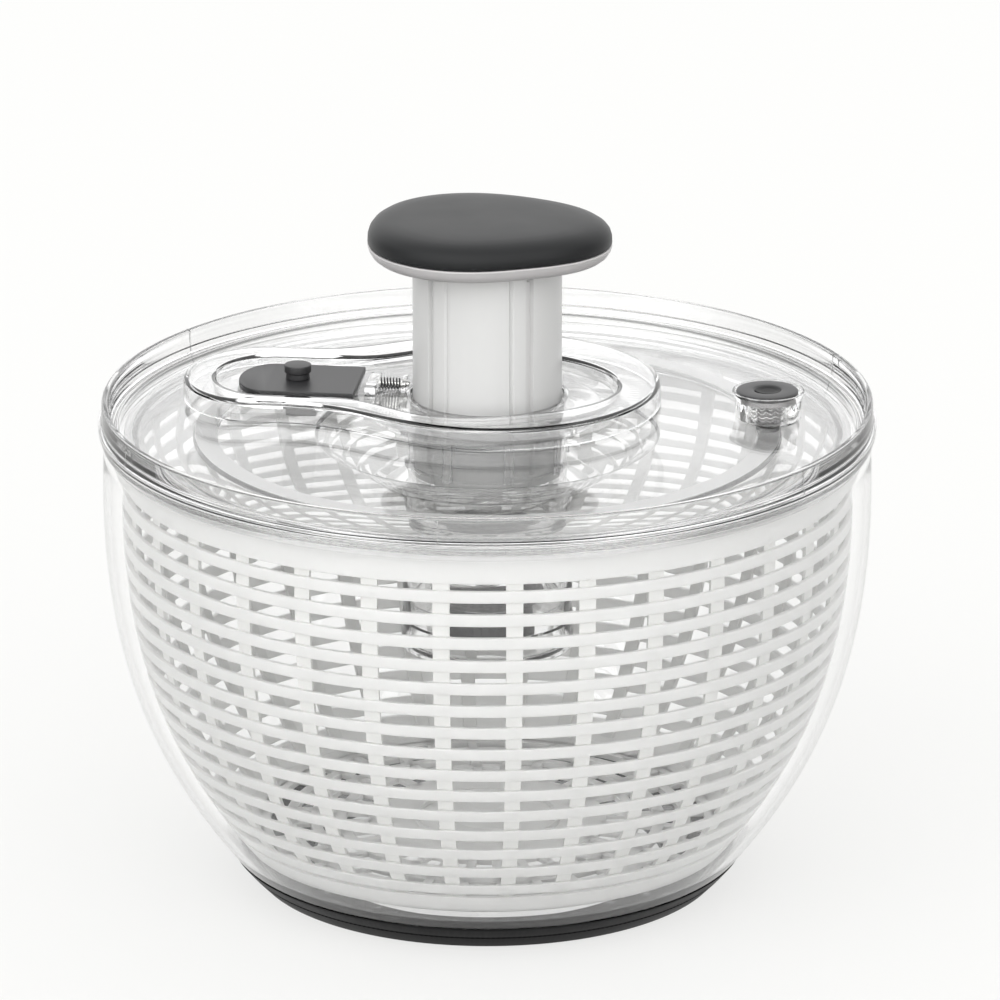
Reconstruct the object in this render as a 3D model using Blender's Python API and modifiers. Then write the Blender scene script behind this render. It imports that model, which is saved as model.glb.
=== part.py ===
"""Pump-driven salad spinner: clear bowl, lattice basket and a clear lid that holds the pump.

Run with:  blender --background --python part.py
Units are metres, +Z is up. The origin is the middle of the base, on the table.
-X is the side of the lid with the plunger lock, +X the side with the brake button.
"""
import math

import bmesh
import bpy
from mathutils import Matrix, Vector

# ---- Fits ----------------------------------------------------------------------------
GAP = 0.0003                  # between two pieces that touch
RUN = 0.0006                  # round a piece that turns or slides

# ---- Bowl ----------------------------------------------------------------------------
FOOT_RADIUS = 0.0808          # outer radius where the side curve meets the table
MOUTH_RADIUS = 0.1333         # outer radius at the rim
BOWL_HEIGHT = 0.1633          # table to the rim's top
BOWL_WALL = 0.0025
BOWL_FLOOR = 0.0030
BOWL_CORNER = 0.0050          # height of the corner between floor and wall
BELLY = (0.752, 0.262)        # lower handle of the side curve, in shares of width and height
SHOULDER = (1.081, 0.532)     # upper handle
BEAD_OUT = 0.0012             # rim bead
BEAD_HEIGHT = 0.0024
PIVOT_RADIUS = 0.0115         # cone that the basket turns on
PIVOT_TIP = 0.0030
PIVOT_HEIGHT = 0.0145

# ---- Base ring -----------------------------------------------------------------------
RING_UNDER = 0.0022           # thickness under the bowl
RING_HEIGHT = 0.0055
RING_WALL = 0.0028
RING_INNER = 0.0620
RING_EDGE = 0.0022            # the outer edge draws in by this at the table

# ---- Basket --------------------------------------------------------------------------
BASKET_WALL = 0.0022
BASKET_GAP_LOW = 0.0030       # to the bowl's inner wall, at the bottom
BASKET_GAP_TOP = 0.0042       # and at the top
BASKET_BOTTOM = 0.0160        # height of the floor's underside
BASKET_DROP = 0.0043          # rim of the basket below the rim of the bowl
RIB_COUNT = 32
RIB_WIDTH = 0.0064
WINDOW_ROWS = 5               # three slots of the real basket to one here
BAR_HEIGHT = 0.0050
LOW_BAND = 0.0090
TOP_BAND = 0.0105
POCKET_MOUTH = 0.0100         # pocket over the bowl's pivot

# ---- Lid -----------------------------------------------------------------------------
LID_OUT = 0.0007               # the rim stands outside the bowl's wall by this
LID_FLARE = 0.0013            # the skirt's edge stands out by this
LID_RIM_HEIGHT = 0.0100
LID_WALL = 0.0022
LID_FLOOR = 0.0018
LID_RECESS = 0.0083           # rim top down to the floor's edge
LID_RISE = 0.0062             # the floor's dome
LID_FLAT_RADIUS = 0.0700
PLUG_WALL = 0.0016            # ring that stands inside the bowl's mouth
PLUG_DEPTH = 0.0056

# ---- Pump cover ----------------------------------------------------------------------
COVER_RADIUS = 0.0585
COVER_ARM_HALF = 0.0330
COVER_ARM_END = 0.0260        # length of the arm's rounded end
COVER_HEIGHT = 0.0074
COVER_FLOOR = 0.0034
COVER_WELL_HALF = 0.0225      # half width of the arm's recess
COVER_WELL_MARGIN = 0.0075    # recess behind the slider
COVER_ARM_MARGIN = 0.0100     # and the border behind the recess
KNOB_MARGIN = 0.0016          # recess round the knob's outline

# ---- Knob and column -----------------------------------------------------------------
KNOB_RADII = (0.0437, 0.0400, 0.0356, 0.0366, 0.0408, 0.0428,
              0.0408, 0.0412, 0.0402, 0.0374, 0.0340, 0.0402)   # every 30 degrees from +X
KNOB_BASE_HEIGHT = 0.0050
KNOB_BASE_TAPER = 0.0022
KNOB_CAP_HEIGHT = 0.0087
KNOB_CAP_EDGE = 0.0045        # the top is drawn in by this
KNOB_CAP_CROWN = 0.0025
COLUMN_RADIUS = 0.0259
COLUMN_WALL = 0.0016
COLUMN_CROWN = 0.0032
COLUMN_GUIDE = 0.0322          # stays in the housing with the knob up
COLUMN_LIP = 0.0006
COLUMN_LIP_HEIGHT = 0.0025
GROOVE_WIDTH = 0.0020
GROOVE_DEPTH = 0.0009
PUMP_TRAVEL = 0.0450
NUT_TUBE_OUTER = 0.0085
NUT_TUBE_INNER = 0.0065

# ---- Pump housing and drive ----------------------------------------------------------
HOUSING_WALL = 0.0014
HOUSING_FLANGE_WIDTH = 0.0124
HOUSING_FLANGE_THICK = 0.0025
LEDGE_CLEARANCE = 0.0012      # round the drum
HOUSING_LEDGE_THICK = 0.0020
WELL_CLEARANCE = 0.0004       # round the housing
WELL_WALL = 0.0022
WELL_DROP = 0.0175            # below the housing's ledge
WELL_FLOOR = 0.0025
DISH_DEPTH = 0.0195
DISH_SHOULDER = 0.0105        # level step between the well and the dish
DISC_THICK = 0.0018
TRACK_RADIUS = 0.0980         # middle of the brake track
TRACK_WIDTH = 0.0080
TRACK_HEIGHT = 0.0017
DISC_LIP_DEPTH = 0.0048
DRUM_RADIUS = 0.0170
DRUM_HEIGHT = 0.0237
DRUM_FLOOR = 0.0035
DRUM_COLLAR = 0.0018
DRUM_COLLAR_THICK = 0.0017
RATCHET_RADIUS = 0.0135
RATCHET_DEPTH = 0.0015
RATCHET_TEETH = 8
BAR_WIDTH = 0.0100            # twisted bar of the shaft
BAR_THICK = 0.0040
BAR_LEAD = 0.0300             # one turn in this height
BAR_STEPS_PER_TURN = 36
SHAFT_CLEAR = 0.0045          # shaft's top to the crown, knob down
NUT_CLEAR = 0.0085            # nut's top to the shaft's, knob down
SHAFT_JOURNAL = 0.0038
SHAFT_PIVOT = 0.0030
NUT_RADIUS = 0.0105
NUT_SLOT_CLEARANCE = 0.0008
NUT_HEIGHT = 0.0100
NUT_SOCKET = 0.0040
RETURN_SPRING_WIRE = 0.0007
RETURN_SPRING_ROOM = 0.0021    # spring inside the column's wall
RETURN_SPRING_TURNS = 6

# ---- Brake ---------------------------------------------------------------------------
BRAKE_RADIUS = 0.0125         # boss on the lid
BRAKE_WALL = 0.0010
BRAKE_RISE = 0.0064           # boss above the lid's rim
BRAKE_CAP_THICK = 0.0024
BRAKE_STEM = 0.0040
BRAKE_TRAVEL = 0.0030
BRAKE_PAD_THICK = 0.0016

# ---- Lock ----------------------------------------------------------------------------
SLIDER_LENGTH = 0.0447
SLIDER_GAP = 0.0158           # slider to the column's hole
SLIDER_HALF = 0.0160
SLIDER_THICK = 0.0023
SLIDER_END = 0.0110
LOCK_TRAVEL = 0.0040
LOCK_KNOB_BACK = 0.0242       # knob behind the slider's front
LOCK_KNOB_RADIUS = 0.0047
LOCK_KNOB_HEIGHT = 0.0048
LOCK_KNOB_PEG = 0.0020
TAB_BACK = 0.0277
TAB_LENGTH = 0.0110
TAB_HALF = 0.0045
TAB_DEPTH = 0.0115
BOLT_LENGTH = 0.0040
BOLT_HALF = 0.0090
ROD_RADIUS = 0.0010
ROD_GAP = 0.0014              # rod's tip to the column
STOP_GAP = 0.0016             # spring stop to the column's hole
STOP_THICK = 0.0018
KEYWAY_HALF = 0.0018

# ---- Screws --------------------------------------------------------------------------
SCREW_RADIUS = 0.0013
SCREW_HEAD = 0.0028
SCREW_HEAD_THICK = 0.0016
HOUSING_SCREW_OUT = 0.0069    # screws outside the housing's sleeve
DRUM_SCREW_CIRCLE = 0.0100

OVERCUT = 0.0020              # how far a cutter passes out of the piece it cuts

BOWL_STATIONS = 7             # levels up the side curve
BIG_STEPS = 40                # facets round the large turned pieces
SMALL_STEPS = 20
COIL_POINTS = 9               # points in each turn of a spring

# ---- Heights that follow from the sizes above ------------------------------------------
BOWL_BOTTOM = RING_UNDER + GAP
BOWL_INSIDE = BOWL_BOTTOM + BOWL_FLOOR
PIVOT_TOP = BOWL_INSIDE + PIVOT_HEIGHT
BASKET_TOP = BOWL_HEIGHT - BASKET_DROP
LID_BOTTOM = BOWL_HEIGHT + GAP
LID_TOP = LID_BOTTOM + LID_RIM_HEIGHT
LID_RADIUS = MOUTH_RADIUS + LID_OUT
LID_INNER = LID_RADIUS - LID_WALL
LID_EDGE_FLOOR = LID_TOP - LID_RECESS
LID_CENTRE = LID_EDGE_FLOOR + LID_RISE
LID_UNDER = LID_CENTRE - LID_FLOOR
COVER_BOTTOM = LID_CENTRE + GAP + 0.0002
COVER_TOP = COVER_BOTTOM + COVER_HEIGHT
COVER_INSIDE = COVER_BOTTOM + COVER_FLOOR
COLUMN_TOP = COVER_TOP + PUMP_TRAVEL + GAP
COLUMN_BOTTOM = COLUMN_TOP - COLUMN_GUIDE - PUMP_TRAVEL
CROWN_UNDER = COLUMN_TOP - COLUMN_CROWN
COVER_HOLE = COLUMN_RADIUS + RUN
HOUSING_BORE = COLUMN_RADIUS + GAP
HOUSING_OUTER = HOUSING_BORE + HOUSING_WALL
HOUSING_FLANGE = HOUSING_OUTER + HOUSING_FLANGE_WIDTH
HOUSING_SCREW_CIRCLE = HOUSING_OUTER + HOUSING_SCREW_OUT
HOUSING_LEDGE_RADIUS = DRUM_RADIUS + LEDGE_CLEARANCE
LEDGE_TOP = COLUMN_BOTTOM - PUMP_TRAVEL - 0.0015
WELL_RADIUS = HOUSING_OUTER + WELL_CLEARANCE + WELL_WALL
WELL_BOTTOM = LEDGE_TOP - WELL_DROP
WELL_INSIDE = WELL_BOTTOM + WELL_FLOOR
DRUM_BOTTOM = WELL_INSIDE + GAP
DRUM_INSIDE = DRUM_BOTTOM + DRUM_FLOOR
DRUM_TOP = DRUM_BOTTOM + DRUM_HEIGHT
DISC_FLANGE = BASKET_TOP + GAP
DISC_UNDER = DISC_FLANGE - DISC_THICK
DISC_TOP = DISC_UNDER + DISC_THICK
WELL_MOUTH = DISC_UNDER - DISH_DEPTH
TRACK_TOP = DISC_TOP + TRACK_HEIGHT
BRAKE_TOP = LID_TOP + BRAKE_RISE
SLIDER_FRONT = -(COVER_HOLE + SLIDER_GAP)
SLIDER_BACK = SLIDER_FRONT - SLIDER_LENGTH
COVER_WELL_END = COVER_WELL_MARGIN - SLIDER_BACK
COVER_ARM_LENGTH = COVER_WELL_END + COVER_ARM_MARGIN
LOCK_KNOB_X = SLIDER_FRONT - LOCK_KNOB_BACK
TAB_X = (SLIDER_FRONT - TAB_BACK, SLIDER_FRONT - TAB_BACK + TAB_LENGTH)
ROD_TIP = -(COLUMN_RADIUS + ROD_GAP)
STOP_X = (-(COVER_HOLE + STOP_GAP + STOP_THICK), -(COVER_HOLE + STOP_GAP))
SLIDER_BOTTOM = COVER_INSIDE + GAP
SLIDER_TOP = SLIDER_BOTTOM + SLIDER_THICK
ROD_HEIGHT = SLIDER_BOTTOM + 0.0017
SHAFT_TOP = CROWN_UNDER - PUMP_TRAVEL - SHAFT_CLEAR
NUT_TOP = CROWN_UNDER - PUMP_TRAVEL - NUT_CLEAR
RETURN_SPRING_RADIUS = COLUMN_RADIUS - COLUMN_WALL - RETURN_SPRING_ROOM
PAD_BOTTOM = TRACK_TOP + GAP + BRAKE_TRAVEL


# ---- Scene helpers ---------------------------------------------------------------------
def clear_scene():
    for obj in list(bpy.data.objects):
        bpy.data.objects.remove(obj, do_unlink=True)


def collection(name):
    group = bpy.data.collections.new(name)
    bpy.context.scene.collection.children.link(group)
    return group


def material(name, colour, roughness, alpha=1.0, metallic=0.0):
    mat = bpy.data.materials.new(name)
    mat.use_nodes = True
    mat.diffuse_color = (*colour, alpha)
    shader = mat.node_tree.nodes["Principled BSDF"]
    shader.inputs["Base Color"].default_value = (*colour, 1.0)
    shader.inputs["Roughness"].default_value = roughness
    shader.inputs["Metallic"].default_value = metallic
    shader.inputs["Alpha"].default_value = alpha
    return mat


def add_object(name, mesh, group, mat=None, location=(0.0, 0.0, 0.0)):
    obj = bpy.data.objects.new(name, mesh)
    obj.location = location
    if mat:
        mesh.materials.append(mat)
    group.objects.link(obj)
    return obj


def as_cutter(obj):
    obj.hide_render = True
    obj.display_type = 'WIRE'
    return obj


def cut(obj, cutter):
    combine(obj, cutter, 'DIFFERENCE')


def join(obj, other):
    combine(obj, other, 'UNION')


def combine(obj, other, operation):
    step = obj.modifiers.new(other.name, 'BOOLEAN')
    step.operation = operation
    step.solver = 'EXACT'
    step.object = as_cutter(other)


# ---- Shape helpers ---------------------------------------------------------------------
def turned(name, profile, group, mat=None, steps=BIG_STEPS, location=(0.0, 0.0, 0.0)):
    """Turn a profile of (radius, height) round Z. It runs down its outer side.

    A profile that starts and ends on the axis is left open; any other is closed.
    """
    mesh = bpy.data.meshes.new(name)
    open_ends = profile[0][0] == 0.0 and profile[-1][0] == 0.0
    edges = [(i, i + 1) for i in range(len(profile) - 1)]
    if not open_ends:
        edges.append((len(profile) - 1, 0))
    mesh.from_pydata([(r, 0.0, z) for r, z in profile], edges, [])
    obj = add_object(name, mesh, group, mat, location)
    screw = obj.modifiers.new("Turn", 'SCREW')
    screw.axis = 'Z'
    screw.steps = steps
    screw.render_steps = steps
    screw.use_merge_vertices = True
    screw.merge_threshold = 0.00005
    screw.use_smooth_shade = False
    return obj


def box(name, low, high, group, mat=None):
    bm = bmesh.new()
    bmesh.ops.create_cube(bm, size=1.0)
    size = [high[i] - low[i] for i in range(3)]
    middle = [(high[i] + low[i]) / 2 for i in range(3)]
    bmesh.ops.scale(bm, vec=size, verts=bm.verts)
    bmesh.ops.translate(bm, vec=middle, verts=bm.verts)
    return mesh_object(name, bm, group, mat)


def rod(name, radius, start, end, group, mat=None, steps=SMALL_STEPS):
    """A round bar from start to end."""
    start, end = Vector(start), Vector(end)
    bm = bmesh.new()
    bmesh.ops.create_cone(bm, cap_ends=True, segments=steps, radius1=radius,
                          radius2=radius, depth=(end - start).length)
    turn = Vector((0, 0, 1)).rotation_difference(end - start).to_matrix()
    bmesh.ops.rotate(bm, matrix=turn, verts=bm.verts)
    bmesh.ops.translate(bm, vec=(start + end) / 2, verts=bm.verts)
    return mesh_object(name, bm, group, mat)


def mesh_object(name, bm, group, mat):
    mesh = bpy.data.meshes.new(name)
    bm.to_mesh(mesh)
    bm.free()
    return add_object(name, mesh, group, mat)


def plate(name, outline, low, high, group, mat=None):
    """A flat outline as a filled curve, raised from low to high and made a mesh."""
    curve = bpy.data.curves.new(name, 'CURVE')
    curve.dimensions = '2D'
    curve.fill_mode = 'BOTH'
    curve.extrude = (high - low) / 2
    spline = curve.splines.new('POLY')
    spline.points.add(len(outline) - 1)
    for point, (x, y) in zip(spline.points, outline):
        point.co = (x, y, 0.0, 1.0)
    spline.use_cyclic_u = True
    drawn = bpy.data.objects.new(name + "_curve", curve)
    group.objects.link(drawn)
    bpy.context.view_layer.update()
    graph = bpy.context.evaluated_depsgraph_get()
    mesh = bpy.data.meshes.new_from_object(drawn.evaluated_get(graph))
    bpy.data.objects.remove(drawn, do_unlink=True)
    bm = bmesh.new()
    bm.from_mesh(mesh)
    bmesh.ops.remove_doubles(bm, verts=bm.verts, dist=0.00001)
    bmesh.ops.translate(bm, vec=(0, 0, (low + high) / 2), verts=bm.verts)
    bmesh.ops.recalc_face_normals(bm, faces=bm.faces)
    bpy.data.meshes.remove(mesh)
    return mesh_object(name, bm, group, mat)


def coil(name, middle, axis, length, radius, wire, turns, group, mat):
    """An open-wound spring whose wire is one POLY curve. middle is its low end."""
    count = turns * COIL_POINTS
    curve = bpy.data.curves.new(name, 'CURVE')
    curve.dimensions = '3D'
    curve.bevel_depth = wire
    curve.bevel_resolution = 1
    curve.use_fill_caps = True
    spline = curve.splines.new('POLY')
    spline.points.add(count)
    turn = Vector((0, 0, 1)).rotation_difference(Vector(axis)).to_matrix()
    for i, point in enumerate(spline.points):
        angle = 2 * math.pi * i / COIL_POINTS
        place = Vector((radius * math.cos(angle), radius * math.sin(angle), length * i / count))
        point.co = (*(turn @ place), 1.0)
    obj = bpy.data.objects.new(name, curve)
    obj.location = middle
    curve.materials.append(mat)
    group.objects.link(obj)
    return obj


def twisted_bar(name, width, thick, low, high, group, mat=None):
    """A flat bar that turns once in BAR_LEAD, in even steps of height counted from the table."""
    step = BAR_LEAD / BAR_STEPS_PER_TURN
    corners = [(-width / 2, -thick / 2), (width / 2, -thick / 2),
               (width / 2, thick / 2), (-width / 2, thick / 2)]
    bm = bmesh.new()
    rings = []
    for level in range(round(low / step), round(high / step) + 1):
        turn = Matrix.Rotation(2 * math.pi * level / BAR_STEPS_PER_TURN, 3, 'Z')
        rings.append([bm.verts.new(turn @ Vector((x, y, level * step))) for x, y in corners])
    bm.faces.new(rings[0])
    bm.faces.new(rings[-1])
    for lower, upper in zip(rings, rings[1:]):
        for i in range(4):
            j = (i + 1) % 4
            bm.faces.new((lower[i], lower[j], upper[j]))
            bm.faces.new((lower[i], upper[j], upper[i]))
    bmesh.ops.recalc_face_normals(bm, faces=bm.faces)
    return mesh_object(name, bm, group, mat)


# ---- Curves of the object --------------------------------------------------------------
def side_point(t, inset=0.0):
    """Point on the bowl's side curve, t from 0 at the foot to 1 at the rim, moved inwards."""
    span = MOUTH_RADIUS - FOOT_RADIUS
    handles = [Vector((FOOT_RADIUS, 0.0)),
               Vector((FOOT_RADIUS + BELLY[0] * span, BELLY[1] * BOWL_HEIGHT)),
               Vector((FOOT_RADIUS + SHOULDER[0] * span, SHOULDER[1] * BOWL_HEIGHT)),
               Vector((MOUTH_RADIUS, BOWL_HEIGHT))]
    u = 1.0 - t
    place = (u ** 3 * handles[0] + 3 * u * u * t * handles[1]
             + 3 * u * t * t * handles[2] + t ** 3 * handles[3])
    run = (3 * u * u * (handles[1] - handles[0]) + 6 * u * t * (handles[2] - handles[1])
           + 3 * t * t * (handles[3] - handles[2]))
    inwards = Vector((-run.y, run.x)).normalized()
    return place + inset * inwards


def side_radius(height, inset=0.0):
    """Radius of the side curve, moved inwards, at a height."""
    low, high = 0.0, 1.0
    for _ in range(40):
        middle = (low + high) / 2
        if side_point(middle, inset).y < height:
            low = middle
        else:
            high = middle
    return side_point(low, inset).x


def basket_radius(height):
    share = (height - BASKET_BOTTOM) / (BASKET_TOP - BASKET_BOTTOM)
    room = BASKET_GAP_LOW + share * (BASKET_GAP_TOP - BASKET_GAP_LOW)
    return side_radius(height, BOWL_WALL + room)


def lid_height(radius):
    """Top of the lid's domed floor."""
    out = max(0.0, radius - LID_FLAT_RADIUS) / (LID_INNER - LID_FLAT_RADIUS)
    return LID_EDGE_FLOOR + LID_RISE * (1.0 - out * out)


def knob_radius(angle):
    """Smooth closed curve through KNOB_RADII, with one rounded corner towards +X."""
    count = len(KNOB_RADII)
    place = (angle / (2 * math.pi) * count) % count
    i = int(place)
    t = place - i
    before, here, after, last = (KNOB_RADII[(i + k) % count] for k in (-1, 0, 1, 2))
    return here + 0.5 * t * (after - before + t * (2 * before - 5 * here + 4 * after - last
                                                   + t * (3 * (here - after) + last - before)))


def knob_outline(grow=0.0, count=36):
    points = []
    for i in range(count):
        angle = 2 * math.pi * i / count
        radius = grow + knob_radius(angle)
        points.append((radius * math.cos(angle), radius * math.sin(angle)))
    return points


def arm_outline(half, far, end, near=0.0):
    """A bar along -X with a rounded end at x = -far."""
    count = 12
    points = [(near, -half), (near, half)]
    for i in range(count + 1):
        angle = math.pi / 2 - math.pi * i / count
        points.append((end - far - end * math.cos(angle), half * math.sin(angle)))
    return points


def circle_outline(radius, count=BIG_STEPS):
    return [(radius * math.cos(2 * math.pi * i / count), radius * math.sin(2 * math.pi * i / count))
            for i in range(count)]


def ratchet_outline(low, high, teeth, ramp_share):
    """A round outline that swells from low to high radius before each step."""
    points = []
    per_tooth = 6
    for tooth in range(teeth):
        for i in range(per_tooth + 1):
            share = i / per_tooth
            swell = max(0.0, (share - 1.0 + ramp_share) / ramp_share)
            angle = 2 * math.pi * (tooth + 0.98 * share) / teeth
            radius = low + (high - low) * swell
            points.append((radius * math.cos(angle), radius * math.sin(angle)))
    return points


# ---- Bowl, base ring and basket ----------------------------------------------------------
def build_bowl(group, mats):
    stations = [0.97 - 0.87 * i / BOWL_STATIONS for i in range(BOWL_STATIONS)]
    outer = [tuple(side_point(t)) for t in stations]
    inner = [tuple(side_point(t, BOWL_WALL)) for t in reversed(stations)]
    corner_top = BOWL_INSIDE + BOWL_CORNER
    corner = side_radius(corner_top, BOWL_WALL)
    inner = [point for point in inner if point[1] > corner_top + 0.002]
    seat = RING_HEIGHT + GAP
    rebate = side_radius(seat) - RING_WALL - GAP
    profile = [(0.0, PIVOT_TOP), (PIVOT_TIP, PIVOT_TOP), (PIVOT_RADIUS, BOWL_INSIDE),
               (corner - 1.5 * BOWL_CORNER, BOWL_INSIDE), (corner, corner_top)]
    profile += inner
    profile += [(MOUTH_RADIUS - BOWL_WALL, BOWL_HEIGHT), (MOUTH_RADIUS + BEAD_OUT, BOWL_HEIGHT),
                (MOUTH_RADIUS + BEAD_OUT, BOWL_HEIGHT - BEAD_HEIGHT),
                (side_radius(BOWL_HEIGHT - BEAD_HEIGHT), BOWL_HEIGHT - BEAD_HEIGHT)]
    profile += [point for point in outer if seat + 0.002 < point[1] < BOWL_HEIGHT - BEAD_HEIGHT - 0.002]
    profile += [(side_radius(seat), seat), (rebate, seat),
                (rebate - (seat - BOWL_BOTTOM), BOWL_BOTTOM), (0.0, BOWL_BOTTOM)]
    return turned("bowl", profile, group, mats["clear"])


def build_base_ring(group, mats):
    seat = RING_HEIGHT + GAP
    inner_top = side_radius(seat) - RING_WALL
    slope = seat - BOWL_BOTTOM
    profile = [(inner_top, RING_HEIGHT), (side_radius(RING_HEIGHT), RING_HEIGHT),
               (FOOT_RADIUS + 0.0004, 0.0012), (FOOT_RADIUS - RING_EDGE, 0.0),
               (RING_INNER, 0.0), (RING_INNER, RING_UNDER),
               (inner_top - slope, RING_UNDER)]
    return turned("base_ring", profile, group, mats["rubber"])


def basket_profile():
    """Rows of (radius, height, is_window) of the basket's outer surface, centre first."""
    wall_start = BASKET_BOTTOM + 0.002
    corner = basket_radius(wall_start)
    rows = [(0.0, PIVOT_TOP + GAP), (PIVOT_TIP + 0.0015, PIVOT_TOP + GAP),
            (POCKET_MOUTH, BASKET_BOTTOM), (corner - 0.004, BASKET_BOTTOM), (corner, wall_start)]
    low = BASKET_BOTTOM + LOW_BAND
    high = BASKET_TOP - TOP_BAND
    pitch = (high - low + BAR_HEIGHT) / WINDOW_ROWS
    windows = []
    for i in range(WINDOW_ROWS):
        bottom = low + i * pitch
        windows.append((bottom, bottom + pitch - BAR_HEIGHT))
    for bottom, top in windows:
        rows += [(basket_radius(bottom), bottom), (basket_radius(top), top)]
    rows.append((basket_radius(BASKET_TOP), BASKET_TOP))
    return rows, windows


def build_basket(group, mats):
    rows, windows = basket_profile()
    columns = 2 * RIB_COUNT
    column = 2 * math.pi / columns
    rib = RIB_WIDTH / MOUTH_RADIUS
    bm = bmesh.new()
    verts = [bm.verts.new((r, 0.0, z)) for r, z in rows]
    edges = [bm.edges.new(pair) for pair in zip(verts, verts[1:])]
    bmesh.ops.spin(bm, geom=verts + edges, cent=(0, 0, 0), axis=(0, 0, 1),
                   angle=2 * math.pi, steps=columns, use_merge=True)
    bmesh.ops.remove_doubles(bm, verts=bm.verts, dist=0.00001)
    for vert in bm.verts:
        index = round(math.atan2(vert.co.y, vert.co.x) / column)
        turn = -rib / 2 if index % 2 == 0 else rib / 2 - column
        vert.co = Matrix.Rotation(turn, 3, 'Z') @ vert.co
    holes = []
    for face in bm.faces:
        middle = face.calc_center_median()
        angle = math.atan2(middle.y, middle.x) % (2 * column)
        between_ribs = rib / 2 < angle < 2 * column - rib / 2
        if between_ribs and any(low < middle.z < high for low, high in windows):
            holes.append(face)
    bmesh.ops.delete(bm, geom=holes, context='FACES')
    bmesh.ops.recalc_face_normals(bm, faces=bm.faces)
    outer = max(bm.faces, key=lambda face: face.calc_center_median().z)
    middle = outer.calc_center_median()
    if outer.normal.dot(Vector((middle.x, middle.y, 0.0))) < 0:
        bmesh.ops.reverse_faces(bm, faces=bm.faces)
    basket = mesh_object("basket", bm, group, mats["white"])
    wall = basket.modifiers.new("Wall", 'SOLIDIFY')
    wall.thickness = BASKET_WALL
    wall.offset = -1.0
    wall.use_even_offset = True
    return basket


# ---- Lid ---------------------------------------------------------------------------------
def build_lid(group, cutters, mats):
    plug = side_radius(BOWL_HEIGHT - PLUG_DEPTH / 2, BOWL_WALL) - 2 * GAP
    hole = HOUSING_OUTER + GAP
    radii = [0.124, 0.116, 0.104, 0.088, LID_FLAT_RADIUS]
    top = [(r * LID_INNER / 0.1318, lid_height(r * LID_INNER / 0.1318)) for r in radii]
    profile = [(LID_INNER, LID_TOP), (LID_RADIUS, LID_TOP),
               (LID_RADIUS + LID_FLARE, LID_BOTTOM), (plug, LID_BOTTOM),
               (plug, BOWL_HEIGHT - PLUG_DEPTH), (plug - PLUG_WALL, BOWL_HEIGHT - PLUG_DEPTH),
               (plug - PLUG_WALL, lid_height(plug) - LID_FLOOR)]
    profile += [(r, z - LID_FLOOR) for r, z in top]
    profile += [(hole, LID_UNDER), (hole, LID_CENTRE)]
    profile += list(reversed(top))
    profile.append((LID_INNER, LID_EDGE_FLOOR))
    lid = turned("lid_shell", profile, group, mats["clear"])
    boss_low = lid_height(TRACK_RADIUS) - LID_FLOOR / 2
    inner = BRAKE_RADIUS - BRAKE_WALL
    boss = turned("brake_boss", [(inner, BRAKE_TOP), (BRAKE_RADIUS, BRAKE_TOP),
                                 (BRAKE_RADIUS, boss_low), (inner, boss_low)],
                  cutters, steps=SMALL_STEPS, location=(TRACK_RADIUS, 0.0, 0.0))
    join(lid, boss)
    stem = (TRACK_RADIUS, 0.0, LID_EDGE_FLOOR - 0.01)
    cut(lid, rod("stem_hole", BRAKE_STEM + RUN, stem, (TRACK_RADIUS, 0.0, LID_TOP), cutters))
    cut(lid, slot_cutter("lid_slot", LID_EDGE_FLOOR - 0.01, COVER_BOTTOM, cutters))
    for i, (x, y) in enumerate(screw_places(HOUSING_SCREW_CIRCLE)):
        cut(lid, rod("lid_screw_hole_%d" % (i + 1), SCREW_RADIUS + GAP,
                     (x, y, LID_UNDER - OVERCUT), (x, y, LID_CENTRE + OVERCUT), cutters, steps=10))
    return lid


def slot_cutter(name, low, high, cutters):
    """Clearance for the slider's tab over the whole travel of the lock."""
    return box(name, (TAB_X[0] - RUN, -TAB_HALF - RUN, low),
               (TAB_X[1] + LOCK_TRAVEL + RUN, TAB_HALF + RUN, high), cutters)


def screw_places(circle):
    return [(circle * math.cos(math.radians(a)), circle * math.sin(math.radians(a)))
            for a in (90, 210, 330)]


def build_cover(group, cutters, mats):
    """Keyhole-shaped raised cover; its rim stands round the knob's and the lock's recesses."""
    cover = plate("pump_cover", arm_outline(COVER_ARM_HALF, COVER_ARM_LENGTH, COVER_ARM_END),
                  COVER_BOTTOM, COVER_TOP, group, mats["clear"])
    join(cover, plate("cover_round", circle_outline(COVER_RADIUS), COVER_BOTTOM, COVER_TOP, cutters))
    above = COVER_TOP + OVERCUT
    cut(cover, plate("knob_recess", knob_outline(KNOB_MARGIN), COVER_INSIDE, above, cutters))
    cut(cover, plate("arm_recess", arm_outline(COVER_WELL_HALF, COVER_WELL_END, 0.016, near=-0.02),
                     COVER_INSIDE, above, cutters))
    join(cover, box("spring_stop", (STOP_X[0], -0.005, COVER_INSIDE - 0.0005),
                    (STOP_X[1], 0.005, ROD_HEIGHT + 0.0016), cutters))
    cut(cover, rod("stop_hole", ROD_RADIUS + GAP, (STOP_X[0] - OVERCUT, 0, ROD_HEIGHT),
                   (STOP_X[1] + OVERCUT, 0, ROD_HEIGHT), cutters, steps=10))
    cut(cover, turned("column_hole", [(0.0, above), (COVER_HOLE, above),
                                      (COVER_HOLE, COVER_BOTTOM - OVERCUT),
                                      (0.0, COVER_BOTTOM - OVERCUT)], cutters))
    cut(cover, slot_cutter("cover_slot", COVER_BOTTOM - OVERCUT, above, cutters))
    for i, (x, y) in enumerate(screw_places(HOUSING_SCREW_CIRCLE)):
        cut(cover, rod("cover_screw_hole_%d" % (i + 1), SCREW_RADIUS + GAP,
                       (x, y, COVER_BOTTOM - OVERCUT), (x, y, COVER_INSIDE - 0.0006),
                       cutters, steps=10))
    return cover


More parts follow.
